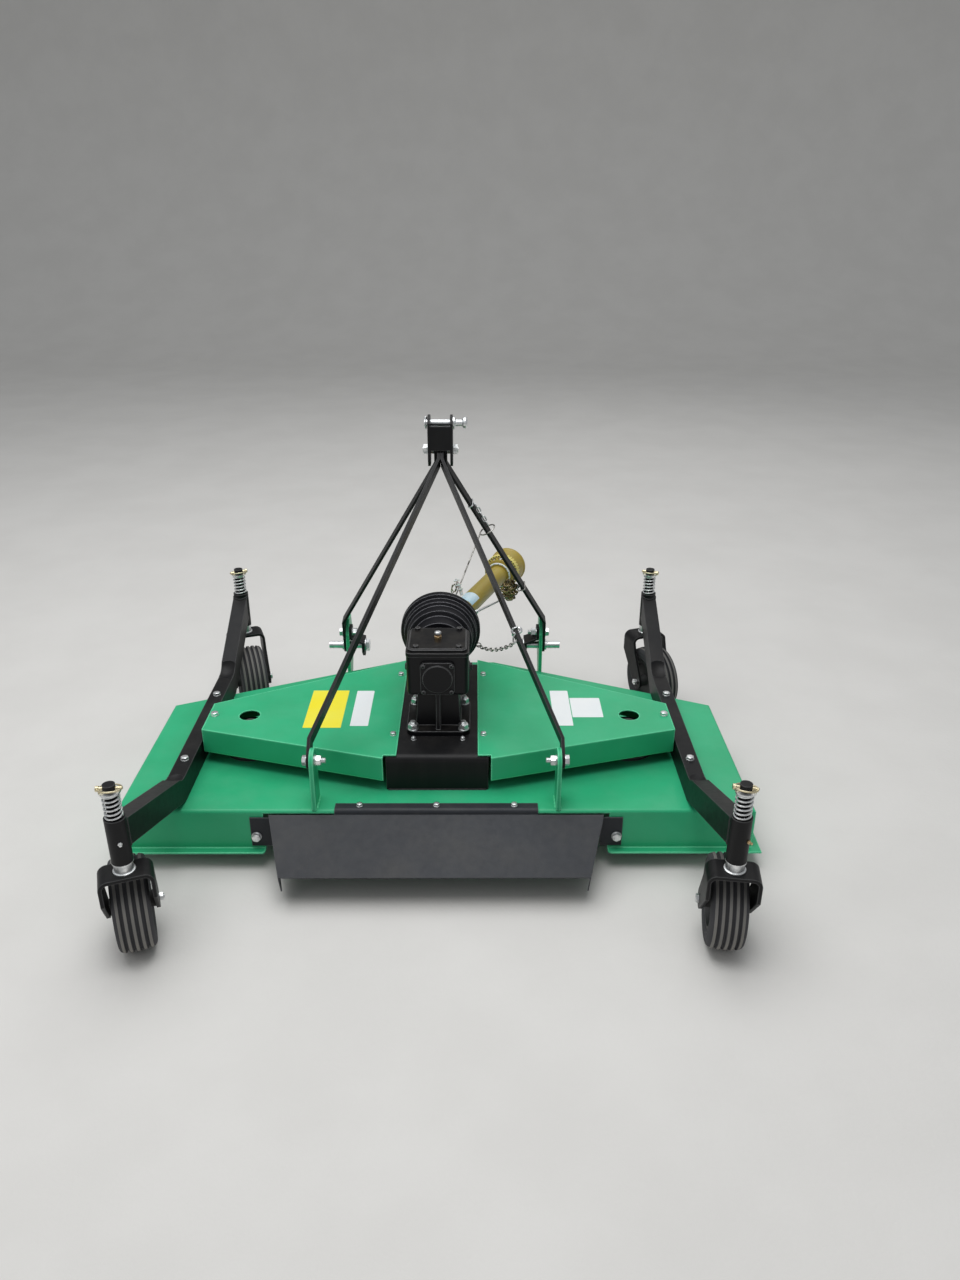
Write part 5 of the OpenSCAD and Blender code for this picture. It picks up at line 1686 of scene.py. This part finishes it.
@dataclass
class Studio:
    """Camera at the photograph's place, pale floor and soft lights."""

    machine: Machine
    # the camera: its lens and frame in pixels, its place in millimetres, its turns in degrees
    lens_pixels: float = 982.8
    frame_height: int = 1280
    sensor: float = 36.0
    eye: Place = (90.4, -2180.5, 1504.0)
    yaw: float = 0.343
    pitch: float = 25.209
    roll: float = -0.140
    # the floor, in metres
    floor_half: float = 9.0
    floor_tones: tuple[Colour, Colour] = ((0.66, 0.645, 0.62), (0.69, 0.675, 0.65))
    wall_at: float = 6.5
    wall_bend: float = 3.0
    wall_top: float = 9.0
    bend_steps: int = 16
    sky_tint: Colour = (0.94, 0.97, 1.0)
    sky_strength: float = 0.37
    # name, place and aim in row metres, side in metres, power in watts, tint
    panels: tuple[tuple[str, Place, Place, float, float, Colour], ...] = (
        ("sky_panel", (-0.6, 0.4, 4.6), (0, 0, 0.2), 4.0, 134, (0.98, 0.99, 1.0)),
        ("left_panel", (-3.0, -2.2, 2.9), (0, 0, 0.2), 2.2, 12, (1.0, 0.99, 0.97)),
        ("back_panel", (1.4, 3.8, 3.2), (0, 0, 0.3), 2.6, 14, (1.0, 1.0, 1.0)),
        ("rear_panel", (0.1, -1.15, 3.6), (0.1, -0.3, 0.4), 1.6, 26, (1.0, 1.0, 1.0)))

    def camera(self) -> None:
        """Makes the camera that the photograph was taken with."""
        data = bpy.data.cameras.new("photo_camera")
        data.sensor_width = self.sensor
        data.lens = self.lens_pixels / self.frame_height * self.sensor
        data.clip_end = 60
        obj = bpy.data.objects.new("photo_camera", data)
        bpy.context.scene.collection.objects.link(obj)
        turn = (Matrix.Rotation(-math.radians(self.yaw), 4, "Z")
                @ Matrix.Rotation(math.radians(90 - self.pitch), 4, "X")
                @ Matrix.Rotation(-math.radians(self.roll), 4, "Z"))
        obj.matrix_world = Matrix.Translation(self.machine.spot(*self.eye)) @ turn
        bpy.context.scene.camera = obj

    def floor(self) -> None:
        """Lays a plain pale floor that rises in one soft bend behind the machine."""
        line = [(-self.floor_half, 0.0), (self.wall_at, 0.0)]
        for step in range(1, self.bend_steps + 1):
            angle = math.pi / 2 * step / self.bend_steps
            line.append((self.wall_at + self.wall_bend * math.sin(angle),
                         self.wall_bend * (1 - math.cos(angle))))
        line.append((self.wall_at + self.wall_bend, self.wall_top))
        bm = bmesh.new()
        rows = [[bm.verts.new((x, y, z)) for x in (-self.floor_half, self.floor_half)] for y, z in line]
        for low, high in zip(rows, rows[1:]):
            bm.faces.new((low[0], low[1], high[1], high[0])).smooth = True
        mesh = bpy.data.meshes.new("floor")
        bm.to_mesh(mesh)
        bm.free()
        obj = bpy.data.objects.new("floor", mesh)
        bpy.context.scene.collection.objects.link(obj)
        t = ShaderTree("pale_floor")
        tone = t.mix(t.noise(3.0, 4.0).smooth(0.3, 0.7), *self.floor_tones)
        mesh.materials.append(t.finish(Base_Color=tone, Roughness=0.85,
                                       Normal=t.bump(t.noise(90.0, 4.0), 0.0006)))
        obj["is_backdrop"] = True

    def light(self, name: str, place: Place, aim: Place, size: float, power: float, tint: Colour) -> None:
        """Hangs one square soft light.

        Args:
            name: The light's name.
            place: Where it hangs, in row metres.
            aim: The point that it faces.
            size: Its side in metres.
            power: Its power in watts.
            tint: Its colour.
        """
        data = bpy.data.lights.new(name, "AREA")
        data.size = size
        data.energy = power
        data.color = tint
        obj = bpy.data.objects.new(name, data)
        obj.location = Vector(place)
        obj.rotation_mode = "QUATERNION"
        obj.rotation_quaternion = (Vector(aim) - Vector(place)).to_track_quat("-Z", "Y")
        bpy.context.scene.collection.objects.link(obj)

    def lights(self) -> None:
        """Sets the sky's fill and four soft lights."""
        world = bpy.data.worlds.new("studio_sky")
        world.use_nodes = True
        sky = world.node_tree.nodes["Background"].inputs
        sky["Color"].default_value = (*self.sky_tint, 1.0)
        sky["Strength"].default_value = self.sky_strength
        scene = bpy.context.scene
        scene.world = world
        scene.view_settings.view_transform = "Standard"
        for panel in self.panels:
            self.light(*panel)


def note_bounds(book: dict, name: str) -> None:
    """Keeps the shown object's box under a name."""
    low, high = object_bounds()
    book[name] = [list(low), list(high)]


def main() -> None:
    """Builds the scene."""
    logging.basicConfig(level=logging.INFO, format="%(message)s")
    machine = Machine.load()
    sizes: dict = {}
    note_bounds(sizes, "cad")
    studio = Studio(machine)
    studio.camera()
    machine.dress()
    for assembly in (DeckBolts, LugBolts, GearboxTrim, TopHitchTrim, LowerHitchTrim, Welds, SpindleTrim,
                     CasterTrim, Stickers, DrivelineTrim):
        assembly(machine).make()
    studio.floor()
    studio.lights()
    note_bounds(sizes, "visual")


if __name__ == "__main__":
    main()
